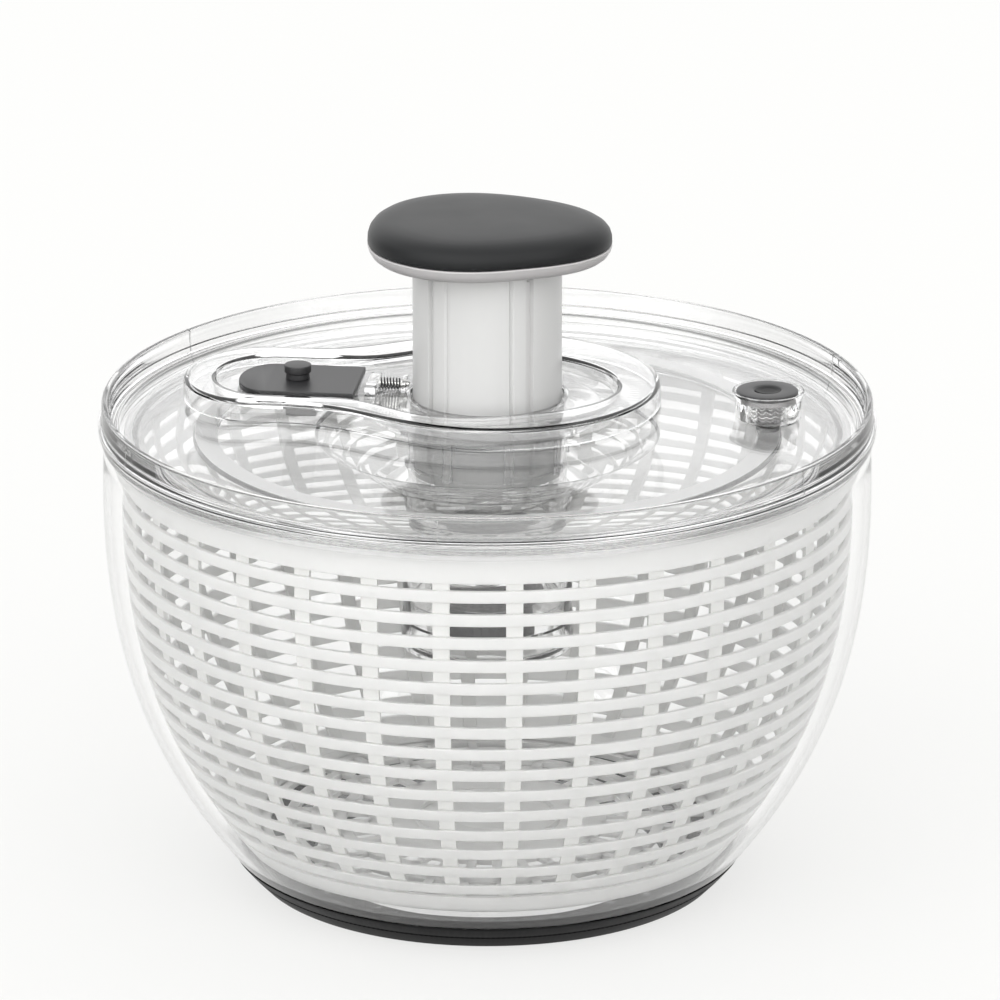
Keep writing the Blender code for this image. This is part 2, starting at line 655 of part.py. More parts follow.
def build_housing(group, cutters, mats):
    """Guide sleeve of the column; its ledge carries the spring and the clutch drum."""
    flange_top = LID_UNDER - GAP
    flange_low = flange_top - HOUSING_FLANGE_THICK
    step = COLUMN_BOTTOM + COLUMN_LIP_HEIGHT + GAP
    wide = COLUMN_RADIUS + COLUMN_LIP + GAP
    ledge_low = LEDGE_TOP - HOUSING_LEDGE_THICK
    profile = [(HOUSING_BORE, COVER_BOTTOM - GAP), (HOUSING_OUTER, COVER_BOTTOM - GAP),
               (HOUSING_OUTER, flange_top), (HOUSING_FLANGE, flange_top),
               (HOUSING_FLANGE, flange_low), (HOUSING_OUTER, flange_low),
               (HOUSING_OUTER, ledge_low), (HOUSING_LEDGE_RADIUS, ledge_low),
               (HOUSING_LEDGE_RADIUS, LEDGE_TOP), (wide, LEDGE_TOP), (wide, step),
               (HOUSING_BORE, step + 0.0006)]
    housing = turned("pump_housing", profile, group, mats["clear"])
    for i, (x, y) in enumerate(screw_places(HOUSING_SCREW_CIRCLE)):
        cut(housing, rod("housing_screw_hole_%d" % (i + 1), SCREW_RADIUS + GAP,
                         (x, y, flange_low - OVERCUT), (x, y, flange_top + OVERCUT),
                         cutters, steps=10))
        top = COVER_INSIDE - 0.0010
        head = flange_low - GAP
        turned("housing_screw_%d" % (i + 1),
               [(0.0, top), (SCREW_RADIUS, top), (SCREW_RADIUS, head), (SCREW_HEAD, head),
                (SCREW_HEAD, head - SCREW_HEAD_THICK), (0.0, head - SCREW_HEAD_THICK)],
               group, mats["steel"], steps=10, location=(x, y, 0.0))
    return housing


# ---- Plunger -----------------------------------------------------------------------------
def build_column(group, cutters, mats):
    bore = SCREW_RADIUS + 2 * GAP
    inner = COLUMN_RADIUS - COLUMN_WALL
    lip = COLUMN_RADIUS + COLUMN_LIP
    tube_low = NUT_TOP + GAP
    profile = [(bore, COLUMN_TOP), (COLUMN_RADIUS, COLUMN_TOP),
               (COLUMN_RADIUS, COLUMN_BOTTOM + COLUMN_LIP_HEIGHT),
               (lip, COLUMN_BOTTOM + COLUMN_LIP_HEIGHT - 0.0004), (lip, COLUMN_BOTTOM),
               (inner, COLUMN_BOTTOM), (inner, CROWN_UNDER), (NUT_TUBE_OUTER, CROWN_UNDER),
               (NUT_TUBE_OUTER, tube_low), (NUT_TUBE_INNER, tube_low),
               (NUT_TUBE_INNER, CROWN_UNDER), (bore, CROWN_UNDER)]
    column = turned("plunger_column", profile, group, mats["white"])
    for i in range(4):
        groove = box("groove_%d" % (i + 1),
                     (COLUMN_RADIUS - GROOVE_DEPTH, -GROOVE_WIDTH / 2, COLUMN_BOTTOM + 0.004),
                     (COLUMN_RADIUS + OVERCUT, GROOVE_WIDTH / 2, COLUMN_TOP + OVERCUT), cutters)
        groove.rotation_euler.z = math.radians(45 + 90 * i)
        cut(column, groove)
    cut(column, box("keyway", (-COLUMN_RADIUS - OVERCUT, -KEYWAY_HALF, COLUMN_BOTTOM - OVERCUT),
                    (ROD_TIP + LOCK_TRAVEL + RUN, KEYWAY_HALF, COLUMN_TOP - 0.0007), cutters))
    return column


def build_knob(group, cutters, mats):
    low = COLUMN_TOP + GAP
    high = low + KNOB_BASE_HEIGHT
    base = plate("knob_base", knob_outline(), low, high, group, mats["grey"])
    taper = 1.0 - KNOB_BASE_TAPER / KNOB_RADII[0]
    for vert in base.data.vertices:
        if vert.co.z < (low + high) / 2:
            vert.co.x *= taper
            vert.co.y *= taper
    tip = high - 0.0010
    cut(base, rod("knob_screw_hole", SCREW_RADIUS + GAP, (0, 0, low - OVERCUT),
                  (0, 0, tip + GAP), cutters, steps=10))
    cap_low = high + GAP
    side_top = cap_low + KNOB_CAP_HEIGHT - KNOB_CAP_CROWN
    cap = plate("knob_cap", knob_outline(), cap_low, side_top, group, mats["dark"])
    bm = bmesh.new()
    bm.from_mesh(cap.data)
    lid = [face for face in bm.faces if face.normal.z > 0.9]
    bmesh.ops.inset_region(bm, faces=lid, thickness=KNOB_CAP_EDGE, use_even_offset=True)
    for vert in {vert for face in lid for vert in face.verts}:
        vert.co.z += KNOB_CAP_CROWN
    bm.to_mesh(cap.data)
    bm.free()
    head = CROWN_UNDER - GAP
    turned("knob_screw", [(0.0, tip), (SCREW_RADIUS, tip), (SCREW_RADIUS, head),
                          (SCREW_HEAD, head), (SCREW_HEAD, head - SCREW_HEAD_THICK),
                          (0.0, head - SCREW_HEAD_THICK)], group, mats["steel"], steps=10)
    return base, cap


def build_nut(group, cutters, mats):
    """Nut with a twisted slot; its socket holds the end of the column's inner tube."""
    socket = NUT_TUBE_OUTER + GAP
    low = NUT_TOP - NUT_HEIGHT
    nut = turned("drive_nut", [(0.0, NUT_TOP), (socket, NUT_TOP), (socket, NUT_TOP + NUT_SOCKET),
                               (NUT_RADIUS, NUT_TOP + NUT_SOCKET), (NUT_RADIUS, low), (0.0, low)],
                 group, mats["grey"], steps=SMALL_STEPS)
    wide = 2 * NUT_SLOT_CLEARANCE
    cut(nut, twisted_bar("nut_slot", BAR_WIDTH + wide, BAR_THICK + wide,
                         low - 2 * OVERCUT, NUT_TOP + 2 * OVERCUT, cutters))
    return nut


# ---- Drive ---------------------------------------------------------------------------------
def build_disc(group, cutters, mats):
    """Turning disc: rim on the basket, brake track, dish, and the well round the housing."""
    flange = basket_radius(BASKET_TOP)
    lip = flange - BASKET_WALL - 0.0008
    track_in = TRACK_RADIUS - TRACK_WIDTH / 2
    track_out = TRACK_RADIUS + TRACK_WIDTH / 2
    well_in = WELL_RADIUS - WELL_WALL
    profile = [(0.0, WELL_INSIDE), (well_in, WELL_INSIDE), (well_in, WELL_MOUTH),
               (WELL_RADIUS + DISH_SHOULDER, WELL_MOUTH + 0.0035), (track_in, DISC_TOP),
               (track_in, TRACK_TOP), (track_out, TRACK_TOP), (track_out, DISC_TOP),
               (lip - 0.002, DISC_TOP), (lip, DISC_TOP + DISC_THICK), (flange, DISC_TOP + DISC_THICK),
               (flange, DISC_FLANGE), (lip, DISC_FLANGE), (lip, DISC_FLANGE - DISC_LIP_DEPTH),
               (lip - 0.0018, DISC_FLANGE - DISC_LIP_DEPTH), (lip - 0.0018, DISC_UNDER),
               (track_in, DISC_UNDER), (WELL_RADIUS + DISH_SHOULDER, WELL_MOUTH + 0.0012),
               (WELL_RADIUS, WELL_MOUTH - 0.0024), (WELL_RADIUS, WELL_BOTTOM), (0.0, WELL_BOTTOM)]
    disc = turned("drive_disc", profile, group, mats["clear"])
    for i, (x, y) in enumerate(screw_places(DRUM_SCREW_CIRCLE)):
        cut(disc, rod("well_screw_hole_%d" % (i + 1), SCREW_RADIUS + GAP,
                      (x, y, WELL_BOTTOM - OVERCUT), (x, y, WELL_INSIDE + OVERCUT), cutters, steps=10))
    return disc


def build_clutch(group, cutters, mats):
    """Drum that hangs by its collar on the housing's ledge and carries the disc's well."""
    collar = LEDGE_TOP + GAP
    pivot = SHAFT_PIVOT + GAP
    pivot_low = DRUM_INSIDE - 0.0025
    profile = [(0.0, pivot_low), (pivot, pivot_low), (pivot, DRUM_INSIDE),
               (RATCHET_RADIUS - 0.001, DRUM_INSIDE), (RATCHET_RADIUS - 0.001, DRUM_TOP),
               (DRUM_RADIUS, DRUM_TOP), (DRUM_RADIUS, collar + DRUM_COLLAR_THICK),
               (HOUSING_LEDGE_RADIUS + DRUM_COLLAR, collar + DRUM_COLLAR_THICK),
               (HOUSING_LEDGE_RADIUS + DRUM_COLLAR, collar), (DRUM_RADIUS, collar),
               (DRUM_RADIUS, DRUM_BOTTOM), (0.0, DRUM_BOTTOM)]
    drum = turned("clutch_drum", profile, group, mats["dark"])
    teeth = ratchet_outline(RATCHET_RADIUS, RATCHET_RADIUS + RATCHET_DEPTH, RATCHET_TEETH, 0.9)
    cut(drum, plate("ratchet", teeth, DRUM_INSIDE + 0.0007, DRUM_TOP + OVERCUT, cutters))
    cover_low = DRUM_TOP + GAP
    turned("clutch_cover", [(0.0062, cover_low + 0.0015), (DRUM_RADIUS - 0.0005, cover_low + 0.0015),
                            (DRUM_RADIUS - 0.0005, cover_low), (RATCHET_RADIUS - GAP, cover_low),
                            (RATCHET_RADIUS - GAP, cover_low - 0.0022),
                            (0.0062, cover_low - 0.0022)], group, mats["dark"], steps=SMALL_STEPS)
    for i, (x, y) in enumerate(screw_places(DRUM_SCREW_CIRCLE)):
        tip = DRUM_INSIDE - 0.0012
        cut(drum, rod("drum_screw_hole_%d" % (i + 1), SCREW_RADIUS + GAP,
                      (x, y, DRUM_BOTTOM - OVERCUT), (x, y, tip + GAP), cutters, steps=10))
        head = WELL_BOTTOM - GAP
        turned("drum_screw_%d" % (i + 1),
               [(0.0, tip), (SCREW_RADIUS, tip), (SCREW_RADIUS, head), (SCREW_HEAD, head),
                (SCREW_HEAD, head - SCREW_HEAD_THICK), (0.0, head - SCREW_HEAD_THICK)],
               group, mats["steel"], steps=10, location=(x, y, 0.0))
    return drum


def build_shaft(group, cutters, mats):
    """Twisted bar on a journal, with the rotor whose two sprung fingers drive the drum."""
    foot = DRUM_INSIDE - 0.0025 + GAP
    shoulder = DRUM_INSIDE + GAP
    bar_low = DRUM_TOP - 0.0045
    shaft = turned("spiral_shaft", [(0.0, bar_low + 0.002), (SHAFT_JOURNAL, bar_low + 0.002),
                                    (SHAFT_JOURNAL, shoulder), (SHAFT_PIVOT, shoulder),
                                    (SHAFT_PIVOT, foot), (0.0, foot)],
                   group, mats["steel"], steps=SMALL_STEPS)
    join(shaft, twisted_bar("spiral", BAR_WIDTH, BAR_THICK, bar_low, SHAFT_TOP, cutters))
    rotor_low = DRUM_INSIDE + 0.0010
    rotor_top = bar_low - 0.0030
    fingers = ratchet_outline(0.0095, RATCHET_RADIUS - 2 * GAP, 2, 0.35)
    rotor = plate("clutch_rotor", fingers, rotor_low, rotor_top, group, mats["grey"])
    cut(rotor, rod("rotor_bore", SHAFT_JOURNAL + GAP, (0, 0, rotor_low - 0.001),
                   (0, 0, rotor_top + 0.001), cutters))
    clip_low = rotor_top + GAP
    clip = turned("shaft_clip", [(SHAFT_JOURNAL + GAP, clip_low + 0.0010),
                                 (0.0068, clip_low + 0.0010), (0.0068, clip_low),
                                 (SHAFT_JOURNAL + GAP, clip_low)],
                  group, mats["steel"], steps=SMALL_STEPS)
    cut(clip, box("clip_mouth", (0.001, -0.0025, clip_low - 0.001), (0.009, 0.0025, clip_low + 0.002),
                  cutters))
    return shaft


# ---- Brake and lock ------------------------------------------------------------------------
def build_brake(group, mats):
    place = (TRACK_RADIUS, 0.0, 0.0)
    cap_radius = BRAKE_RADIUS - BRAKE_WALL - GAP
    cap_top = BRAKE_TOP + 0.0002
    cap_low = cap_top - BRAKE_CAP_THICK
    turned("brake_cap", [(0.0, cap_top - 0.0006), (0.0040, cap_top), (cap_radius - 0.0004, cap_top),
                         (cap_radius, cap_top - 0.0004), (cap_radius, cap_low), (0.0, cap_low)],
           group, mats["dark"], steps=SMALL_STEPS, location=place)
    head = cap_low - GAP
    pad_top = PAD_BOTTOM + BRAKE_PAD_THICK
    turned("brake_stem", [(0.0, head), (0.0080, head), (0.0080, head - 0.0010),
                          (BRAKE_STEM, head - 0.0010), (BRAKE_STEM, pad_top + GAP),
                          (0.0, pad_top + GAP)],
           group, mats["grey"], steps=SMALL_STEPS, location=place)
    turned("brake_pad", [(0.0, pad_top), (BRAKE_STEM, pad_top), (BRAKE_STEM, PAD_BOTTOM),
                         (0.0, PAD_BOTTOM)], group, mats["rubber"], steps=SMALL_STEPS,
           location=place)
    low = lid_height(TRACK_RADIUS) + 0.0009
    return coil("brake_spring", (TRACK_RADIUS, 0.0, low), (0, 0, 1), head - 0.0018 - low,
                0.0062, 0.0003, 2, group, mats["steel"])


def build_lock(group, cutters, mats):
    outline = arm_outline(SLIDER_HALF, -SLIDER_BACK, SLIDER_END, near=SLIDER_FRONT)
    slider = plate("lock_slider", outline, SLIDER_BOTTOM, SLIDER_TOP, group, mats["dark"])
    join(slider, box("slider_tab", (TAB_X[0], -TAB_HALF, SLIDER_BOTTOM - TAB_DEPTH),
                     (TAB_X[1], TAB_HALF, SLIDER_BOTTOM + 0.001), cutters))
    cut(slider, rod("peg_hole", LOCK_KNOB_PEG + GAP, (LOCK_KNOB_X, 0, SLIDER_TOP - 0.0015),
                    (LOCK_KNOB_X, 0, SLIDER_TOP + OVERCUT), cutters, steps=12))
    low = SLIDER_TOP + GAP
    top = low + LOCK_KNOB_HEIGHT
    turned("lock_knob", [(0.0, top), (LOCK_KNOB_RADIUS, top), (LOCK_KNOB_RADIUS, top - 0.0018),
                         (LOCK_KNOB_RADIUS - 0.0007, top - 0.0020), (LOCK_KNOB_RADIUS - 0.0005, low),
                         (LOCK_KNOB_PEG, low), (LOCK_KNOB_PEG, SLIDER_TOP - 0.0012),
                         (0.0, SLIDER_TOP - 0.0012)],
           group, mats["dark"], steps=SMALL_STEPS, location=(LOCK_KNOB_X, 0.0, 0.0))
    start = SLIDER_FRONT + GAP
    bolt = box("lock_bolt", (start, -BOLT_HALF, SLIDER_BOTTOM),
               (start + BOLT_LENGTH, BOLT_HALF, SLIDER_TOP + 0.0004), group, mats["clear"])
    join(bolt, rod("bolt_rod", ROD_RADIUS, (start + 0.001, 0, ROD_HEIGHT),
                   (ROD_TIP, 0, ROD_HEIGHT), cutters, steps=10))
    spring_low = start + BOLT_LENGTH + GAP + 0.0002
    return coil("lock_spring", (spring_low, 0.0, ROD_HEIGHT), (1, 0, 0),
                STOP_X[0] - GAP - 0.0002 - spring_low, 0.00150, 0.0002, 4, group, mats["steel"])


def build_return_spring(group, mats):
    low = LEDGE_TOP + RETURN_SPRING_WIRE + 0.0004
    high = CROWN_UNDER - RETURN_SPRING_WIRE - 0.0004
    return coil("return_spring", (0.0, 0.0, low), (0, 0, 1), high - low,
                RETURN_SPRING_RADIUS, RETURN_SPRING_WIRE, RETURN_SPRING_TURNS,
                group, mats["steel"])


# ---- Assembly ------------------------------------------------------------------------------
AXES = {                      # an empty for each group that moves, at a point on its axis
    "basket_axis": ((0.0, 0.0, 0.0), ("basket",)),
    "lid_frame": ((0.0, 0.0, 0.0), ("lid_shell", "pump_cover", "pump_housing", "housing_screw_1",
                                    "housing_screw_2", "housing_screw_3", "return_spring",
                                    "lock_spring", "brake_spring")),
    "drive_axis": ((0.0, 0.0, 0.0), ("drive_disc", "clutch_drum", "clutch_cover", "drum_screw_1",
                                     "drum_screw_2", "drum_screw_3")),
    "shaft_axis": ((0.0, 0.0, 0.0), ("spiral_shaft", "clutch_rotor", "shaft_clip")),
    "plunger_axis": ((0.0, 0.0, 0.0), ("plunger_column", "knob_base", "knob_cap", "knob_screw",
                                       "drive_nut")),
    "brake_axis": ((TRACK_RADIUS, 0.0, 0.0), ("brake_cap", "brake_stem", "brake_pad")),
    "lock_axis": ((0.0, 0.0, 0.0), ("lock_slider", "lock_knob", "lock_bolt")),
}


def parent_groups(group):
    for name, (place, members) in AXES.items():
        axis = bpy.data.objects.new(name, None)
        axis.location = place
        group.objects.link(axis)
        for member in members:
            piece = bpy.data.objects[member]
            piece.parent = axis
            piece.matrix_parent_inverse = Matrix.Translation(-Vector(place))


def main():
    clear_scene()
    group = collection("salad_spinner")
    cutters = collection("cutters")
    mats = {
        "clear": material("clear plastic", (0.86, 0.88, 0.88), 0.05, alpha=0.35),
        "white": material("white plastic", (0.87, 0.87, 0.86), 0.35),
        "grey": material("light grey plastic", (0.62, 0.61, 0.60), 0.40),
        "dark": material("soft-touch charcoal", (0.045, 0.047, 0.050), 0.60),
        "rubber": material("charcoal rubber", (0.030, 0.031, 0.033), 0.70),
        "steel": material("stainless steel", (0.60, 0.60, 0.60), 0.25, metallic=1.0),
    }
    build_bowl(group, mats)
    build_base_ring(group, mats)
    build_basket(group, mats)
    build_lid(group, cutters, mats)
    build_cover(group, cutters, mats)
    build_housing(group, cutters, mats)
    build_column(group, cutters, mats)
    build_knob(group, cutters, mats)
    build_nut(group, cutters, mats)
    build_disc(group, cutters, mats)
    build_clutch(group, cutters, mats)
    build_shaft(group, cutters, mats)
    build_brake(group, mats)
    build_lock(group, cutters, mats)
    build_return_spring(group, mats)
    parent_groups(group)


main()
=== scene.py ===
"""Looks of a pump-driven salad spinner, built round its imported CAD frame.

Everything is in metres, +Z up. -X is the side of the plunger lock, +X the brake's side.
"""
import functools
import math

import bmesh
import bpy
from mathutils import Matrix, Vector


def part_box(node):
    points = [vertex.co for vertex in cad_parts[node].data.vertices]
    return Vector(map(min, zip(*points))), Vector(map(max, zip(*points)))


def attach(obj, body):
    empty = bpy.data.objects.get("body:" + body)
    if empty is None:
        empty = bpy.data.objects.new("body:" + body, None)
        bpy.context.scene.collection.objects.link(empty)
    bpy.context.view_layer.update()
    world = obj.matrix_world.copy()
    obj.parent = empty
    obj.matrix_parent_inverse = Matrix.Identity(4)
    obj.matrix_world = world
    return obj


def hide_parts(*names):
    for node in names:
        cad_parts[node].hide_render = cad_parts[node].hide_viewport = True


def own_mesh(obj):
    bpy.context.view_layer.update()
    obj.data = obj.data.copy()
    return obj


bl_info = {
    "name": "Salad Spinner",
    "version": (1, 0, 0),
    "blender": (4, 5, 0),
    "location": "View3D > Sidebar > Spinner",
    "description": "Builds the bowl, basket, lid and pump of a salad spinner",
    "category": "Add Mesh",
}

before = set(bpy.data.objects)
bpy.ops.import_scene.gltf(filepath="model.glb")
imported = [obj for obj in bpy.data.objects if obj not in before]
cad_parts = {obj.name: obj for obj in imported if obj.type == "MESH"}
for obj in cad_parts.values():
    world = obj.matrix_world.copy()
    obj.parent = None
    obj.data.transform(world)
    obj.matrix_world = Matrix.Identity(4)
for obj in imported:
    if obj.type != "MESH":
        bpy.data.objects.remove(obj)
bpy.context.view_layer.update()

MM = 0.001
RIM_TOP = 0.1736              # the lid's rim; the brake's cup stands above it
AXIS_Z = (0.0, 0.0, 1.0)


@functools.lru_cache(maxsize=None)
def low(node):
    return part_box(node)[0]


@functools.lru_cache(maxsize=None)
def high(node):
    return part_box(node)[1]


# ---- Settings --------------------------------------------------------------------------
def length(name, description, default):
    return bpy.props.FloatProperty(name=name, description=description, default=default,
                                   unit='LENGTH', precision=5)


def number(name, description, default):
    return bpy.props.IntProperty(name=name, description=description, default=default, min=1)


def amount(name, description, default):
    return bpy.props.FloatProperty(name=name, description=description, default=default)


def turn_angle(name, description, degrees):
    return bpy.props.FloatProperty(name=name, description=description,
                                   default=math.radians(degrees), subtype='ANGLE')


def tone(hex_code):
    """sRGB hex to linear red, green and blue."""
    parts = [int(hex_code[i:i + 2], 16) / 255 for i in (1, 3, 5)]
    return tuple(p / 12.92 if p <= 0.04045 else ((p + 0.055) / 1.055) ** 2.4 for p in parts)


def colour(name, description, hex_code):
    return bpy.props.FloatVectorProperty(name=name, description=description, subtype='COLOR',
                                         size=3, min=0.0, max=1.0, default=tone(hex_code))


class BowlSettings(bpy.types.PropertyGroup):
    foot: length("Foot radius", "Where the side curve would meet the table", 0.0808)
    mouth: length("Mouth radius", "Outside of the wall at the rim", 0.1333)
    wall: length("Wall", "Thickness of the bowl's side", 0.0025)
    bead: length("Rim bead", "How far the rim's bead stands out", 0.0012)
    skirt: length("Skirt", "Top of the base ring's thin skirt", 0.0102)
    ring_ribs: number("Base ring ribs", "Fine upright ribs round the base ring", 300)


class BasketSettings(bpy.types.PropertyGroup):
    rings: number("Rings", "Flat hoops between the top and bottom bands", 15)
    first_ring: length("First ring", "Height of the middle of the top hoop", 0.1439)
    pitch: length("Ring pitch", "Height from one hoop to the next", 0.00827)
    hoop: length("Hoop height", "Height of each hoop", 0.0042)
    thick: length("Hoop thickness", "Thickness of a hoop", 0.0018)
    ribs: number("Ribs", "Upright ribs on the inside of the hoops", 32)
    rib_width: length("Rib width", "Width of a rib", 0.0058)
    gap_low: length("Lower gap", "Room to the bowl's wall at the bottom", 0.0030)
    gap_top: length("Upper gap", "Room to the bowl's wall at the top", 0.0042)


class LidSettings(bpy.types.PropertyGroup):
    wall: length("Rim wall", "Thickness of the upright rim", 0.0022)
    floor: length("Floor", "Thickness of the domed floor", 0.0018)
    recess: length("Recess", "Rim top down to the floor's edge", 0.0083)
    rise: length("Dome", "Rise of the floor towards the middle", 0.0062)
    flat: length("Flat radius", "The floor is level inside this radius", 0.0700)
    marks: number("Marks", "Fine upright lines round the rim", 6)


class CoverSettings(bpy.types.PropertyGroup):
    radius: length("Round part", "Radius of the cover round the plunger", 0.0572)
    shift: length("Shift", "How far the round part sits off the plunger's axis", 0.0030)
    arm: length("Arm length", "Axis to the tip of the arm", 0.1065)
    arm_half: length("Arm half width", "Half the width of the arm", 0.0330)
    arm_end: length("Arm end", "Length of the arm's rounded end", 0.0260)
    blend: length("Blend", "Softness of the corner between arm and round part", 0.0220)
    margin: length("Knob margin", "Recess round the knob's outline", 0.0016)
    shell: length("Shell", "Thickness of the cover", 0.0020)


class PumpSettings(bpy.types.PropertyGroup):
    column: length("Column radius", "Outside of the plunger's column", 0.0259)
    groove: length("Groove depth", "Depth of the column's four grooves", 0.0010)
    track: length("Brake track", "Middle radius of the brake's track", 0.0980)
    track_width: length("Track width", "Width of the brake's track", 0.0080)
    well: length("Well radius", "Outside of the turning well", 0.0302)
    dish: length("Dish radius", "Where the disc starts to step down to its well", 0.0600)


class StageSettings(bpy.types.PropertyGroup):
    distance: length("Camera distance", "Camera to the point it looks at", 3.0)
    elevation: turn_angle("Elevation", "Height angle of the camera", 18.4)
    azimuth: turn_angle("Azimuth", "Turn of the camera towards +X", 7.0)
    lens: amount("Lens", "Focal length in millimetres on a 36 mm sensor", 309.5)
    aim_height: length("Aim height", "Height that the camera looks at", 0.1359)
    aim_right: length("Aim right", "How far right of the axis the camera looks", 0.0044)
    sky: amount("Tent brightness", "Strength of the white light tent", 1.35)
    front: amount("Front light", "How much brighter the tent is on the viewer's side", 1.6)
    floor: colour("Floor", "Colour of the floor", "#6c6c6b")


class FinishSettings(bpy.types.PropertyGroup):
    clear: colour("Clear plastic", "Tint of the clear plastic", "#fefefe")
    white: colour("White plastic", "Hoops, bands and floor of the basket", "#f7f7f5")
    pale: colour("Light grey plastic", "Underside of the knob, stems", "#a3a1a1")
    soft: colour("Soft-touch charcoal", "Top of the knob", "#131415")
    charcoal: colour("Charcoal plastic", "Brake button, lock slider and clutch", "#242425")
    rubber: colour("Black rubber", "Base ring and the button's dimple", "#050506")
    # Painted shade: the ribs' white is greyer than the hoops' white, for the shade behind the hoops.
    rib: colour("Rib plastic", "Upright ribs of the basket", "#ececea")
    column: colour("Column plastic", "White plunger column", "#b9b9b8")
    pad: colour("Grey silicone", "Pad of the brake", "#a9a9a8")
    frost: colour("Frosted plastic", "Track of the brake", "#f3f3f2")
    steel: colour("Stainless steel", "Springs, shaft and screws", "#c8c8c6")


SETTINGS = {
    "spinner_bowl": BowlSettings,
    "spinner_basket": BasketSettings,
    "spinner_lid": LidSettings,
    "spinner_cover": CoverSettings,
    "spinner_pump": PumpSettings,
    "spinner_stage": StageSettings,
    "spinner_finish": FinishSettings,
}


# ---- Modelling -------------------------------------------------------------------------
def deselect():
    if bpy.context.mode != 'OBJECT':
        bpy.ops.object.mode_set(mode='OBJECT')
    bpy.ops.object.select_all(action='DESELECT')


def pick(obj):
    deselect()
    obj.select_set(True)
    bpy.context.view_layer.objects.active = obj


def rounded(corners, steps=5):
    """Points of a profile from (radius, height, rounding) corners."""
    points = []
    for i, (r, z, size) in enumerate(corners):
        if size == 0 or i in (0, len(corners) - 1):
            points.append((r, z))
            continue
        here = Vector((r, z))
        before = Vector(corners[i - 1][:2]) - here
        after = Vector(corners[i + 1][:2]) - here
        reach = size / math.tan(before.angle(after) / 2)
        start = here + before.normalized() * min(reach, 0.49 * before.length)
        end = here + after.normalized() * min(reach, 0.49 * after.length)
        for k in range(steps + 1):
            t = k / steps
            place = (1 - t) ** 2 * start + 2 * t * (1 - t) * here + t ** 2 * end
            points.append(tuple(place))
    return points


def turned(name, profile, steps=160, smooth=30.0):
    """A profile of (radius, height), drawn by extruding a point and spun round Z."""
    deselect()
    bpy.ops.mesh.primitive_plane_add(size=MM)
    obj = bpy.context.object
    obj.name = name
    bpy.ops.object.mode_set(mode='EDIT')
    bpy.ops.mesh.select_mode(type='VERT')
    bpy.ops.mesh.merge(type='CENTER')
    bpy.ops.transform.translate(value=(profile[0][0], 0.0, profile[0][1]))
    on_axis = profile[0][0] == 0.0 and profile[-1][0] == 0.0
    path = list(profile) if on_axis else list(profile) + [profile[0]]
    for (r0, z0), (r1, z1) in zip(path, path[1:]):
        bpy.ops.mesh.extrude_region_move(TRANSFORM_OT_translate={"value": (r1 - r0, 0.0, z1 - z0)})
    bpy.ops.mesh.select_all(action='SELECT')
    bpy.ops.mesh.spin(steps=steps, angle=2 * math.pi, center=(0.0, 0.0, 0.0), axis=AXIS_Z)
    bpy.ops.mesh.select_all(action='SELECT')
    bpy.ops.mesh.remove_doubles(threshold=0.00001)
    bpy.ops.mesh.normals_make_consistent(inside=False)
    bpy.ops.object.mode_set(mode='OBJECT')
    return soften(obj, smooth)


def soften(obj, degrees=30.0):
    pick(obj)
    bpy.ops.object.shade_smooth_by_angle(angle=math.radians(degrees))
    return obj


def place_ring(obj, ring):
    """Moves the selected vertices to the ring's points by their station numbers."""
    bm = bmesh.from_edit_mesh(obj.data)
    station = bm.verts.layers.int["station"]
    for vert in bm.verts:
        if vert.select:
            vert.co = ring[vert[station]]
    bmesh.update_edit_mesh(obj.data)


def loft(name, rings, caps=True, smooth=30.0):
    """A circle set to the first ring's points and extruded ring by ring."""
    deselect()
    bpy.ops.mesh.primitive_circle_add(vertices=len(rings[0]), radius=0.01, fill_type='NOTHING')
    obj = bpy.context.object
    obj.name = name
    bpy.ops.object.mode_set(mode='EDIT')
    bpy.ops.mesh.select_mode(type='VERT')
    bm = bmesh.from_edit_mesh(obj.data)
    station = bm.verts.layers.int.new("station")
    for i, vert in enumerate(bm.verts):
        vert[station] = i
    bmesh.update_edit_mesh(obj.data)
    place_ring(obj, rings[0])
    for ring in rings[1:]:
        bpy.ops.mesh.extrude_region_move()
        place_ring(obj, ring)
    if caps:
        bpy.ops.mesh.edge_face_add()
        bpy.ops.mesh.select_all(action='DESELECT')
        bpy.ops.mesh.select_non_manifold()
        bpy.ops.mesh.edge_face_add()
        bpy.ops.mesh.select_all(action='SELECT')
        bpy.ops.mesh.normals_make_consistent(inside=False)
    bpy.ops.object.mode_set(mode='OBJECT')
    return soften(obj, smooth)


def outward(obj, merge=True):
    """Coincident points become one, and every face looks outwards."""
    pick(obj)
    bpy.ops.object.mode_set(mode='EDIT')
    bpy.ops.mesh.select_all(action='SELECT')
    if merge:
        bpy.ops.mesh.remove_doubles(threshold=0.00001)
    bpy.ops.mesh.normals_make_consistent(inside=False)
    bpy.ops.object.mode_set(mode='OBJECT')
    return obj


def block(name, size, centre, bevel=0.0, turn=0.0):
    """A box with bevelled edges, turned round Z after it is placed."""
    deselect()
    bpy.ops.mesh.primitive_cube_add(size=1.0)
    obj = bpy.context.object
    obj.name = name
    bpy.ops.object.mode_set(mode='EDIT')
    bpy.ops.transform.resize(value=size)
    if bevel:
        bpy.ops.mesh.bevel(offset=bevel, segments=3, affect='EDGES')
    bpy.ops.mesh.select_all(action='SELECT')
    bpy.ops.transform.translate(value=centre)
    bpy.ops.object.mode_set(mode='OBJECT')
    obj.data.transform(Matrix.Rotation(turn, 4, 'Z'))
    return soften(obj)


def moved(obj, offset):
    obj.data.transform(Matrix.Translation(offset))
    return obj


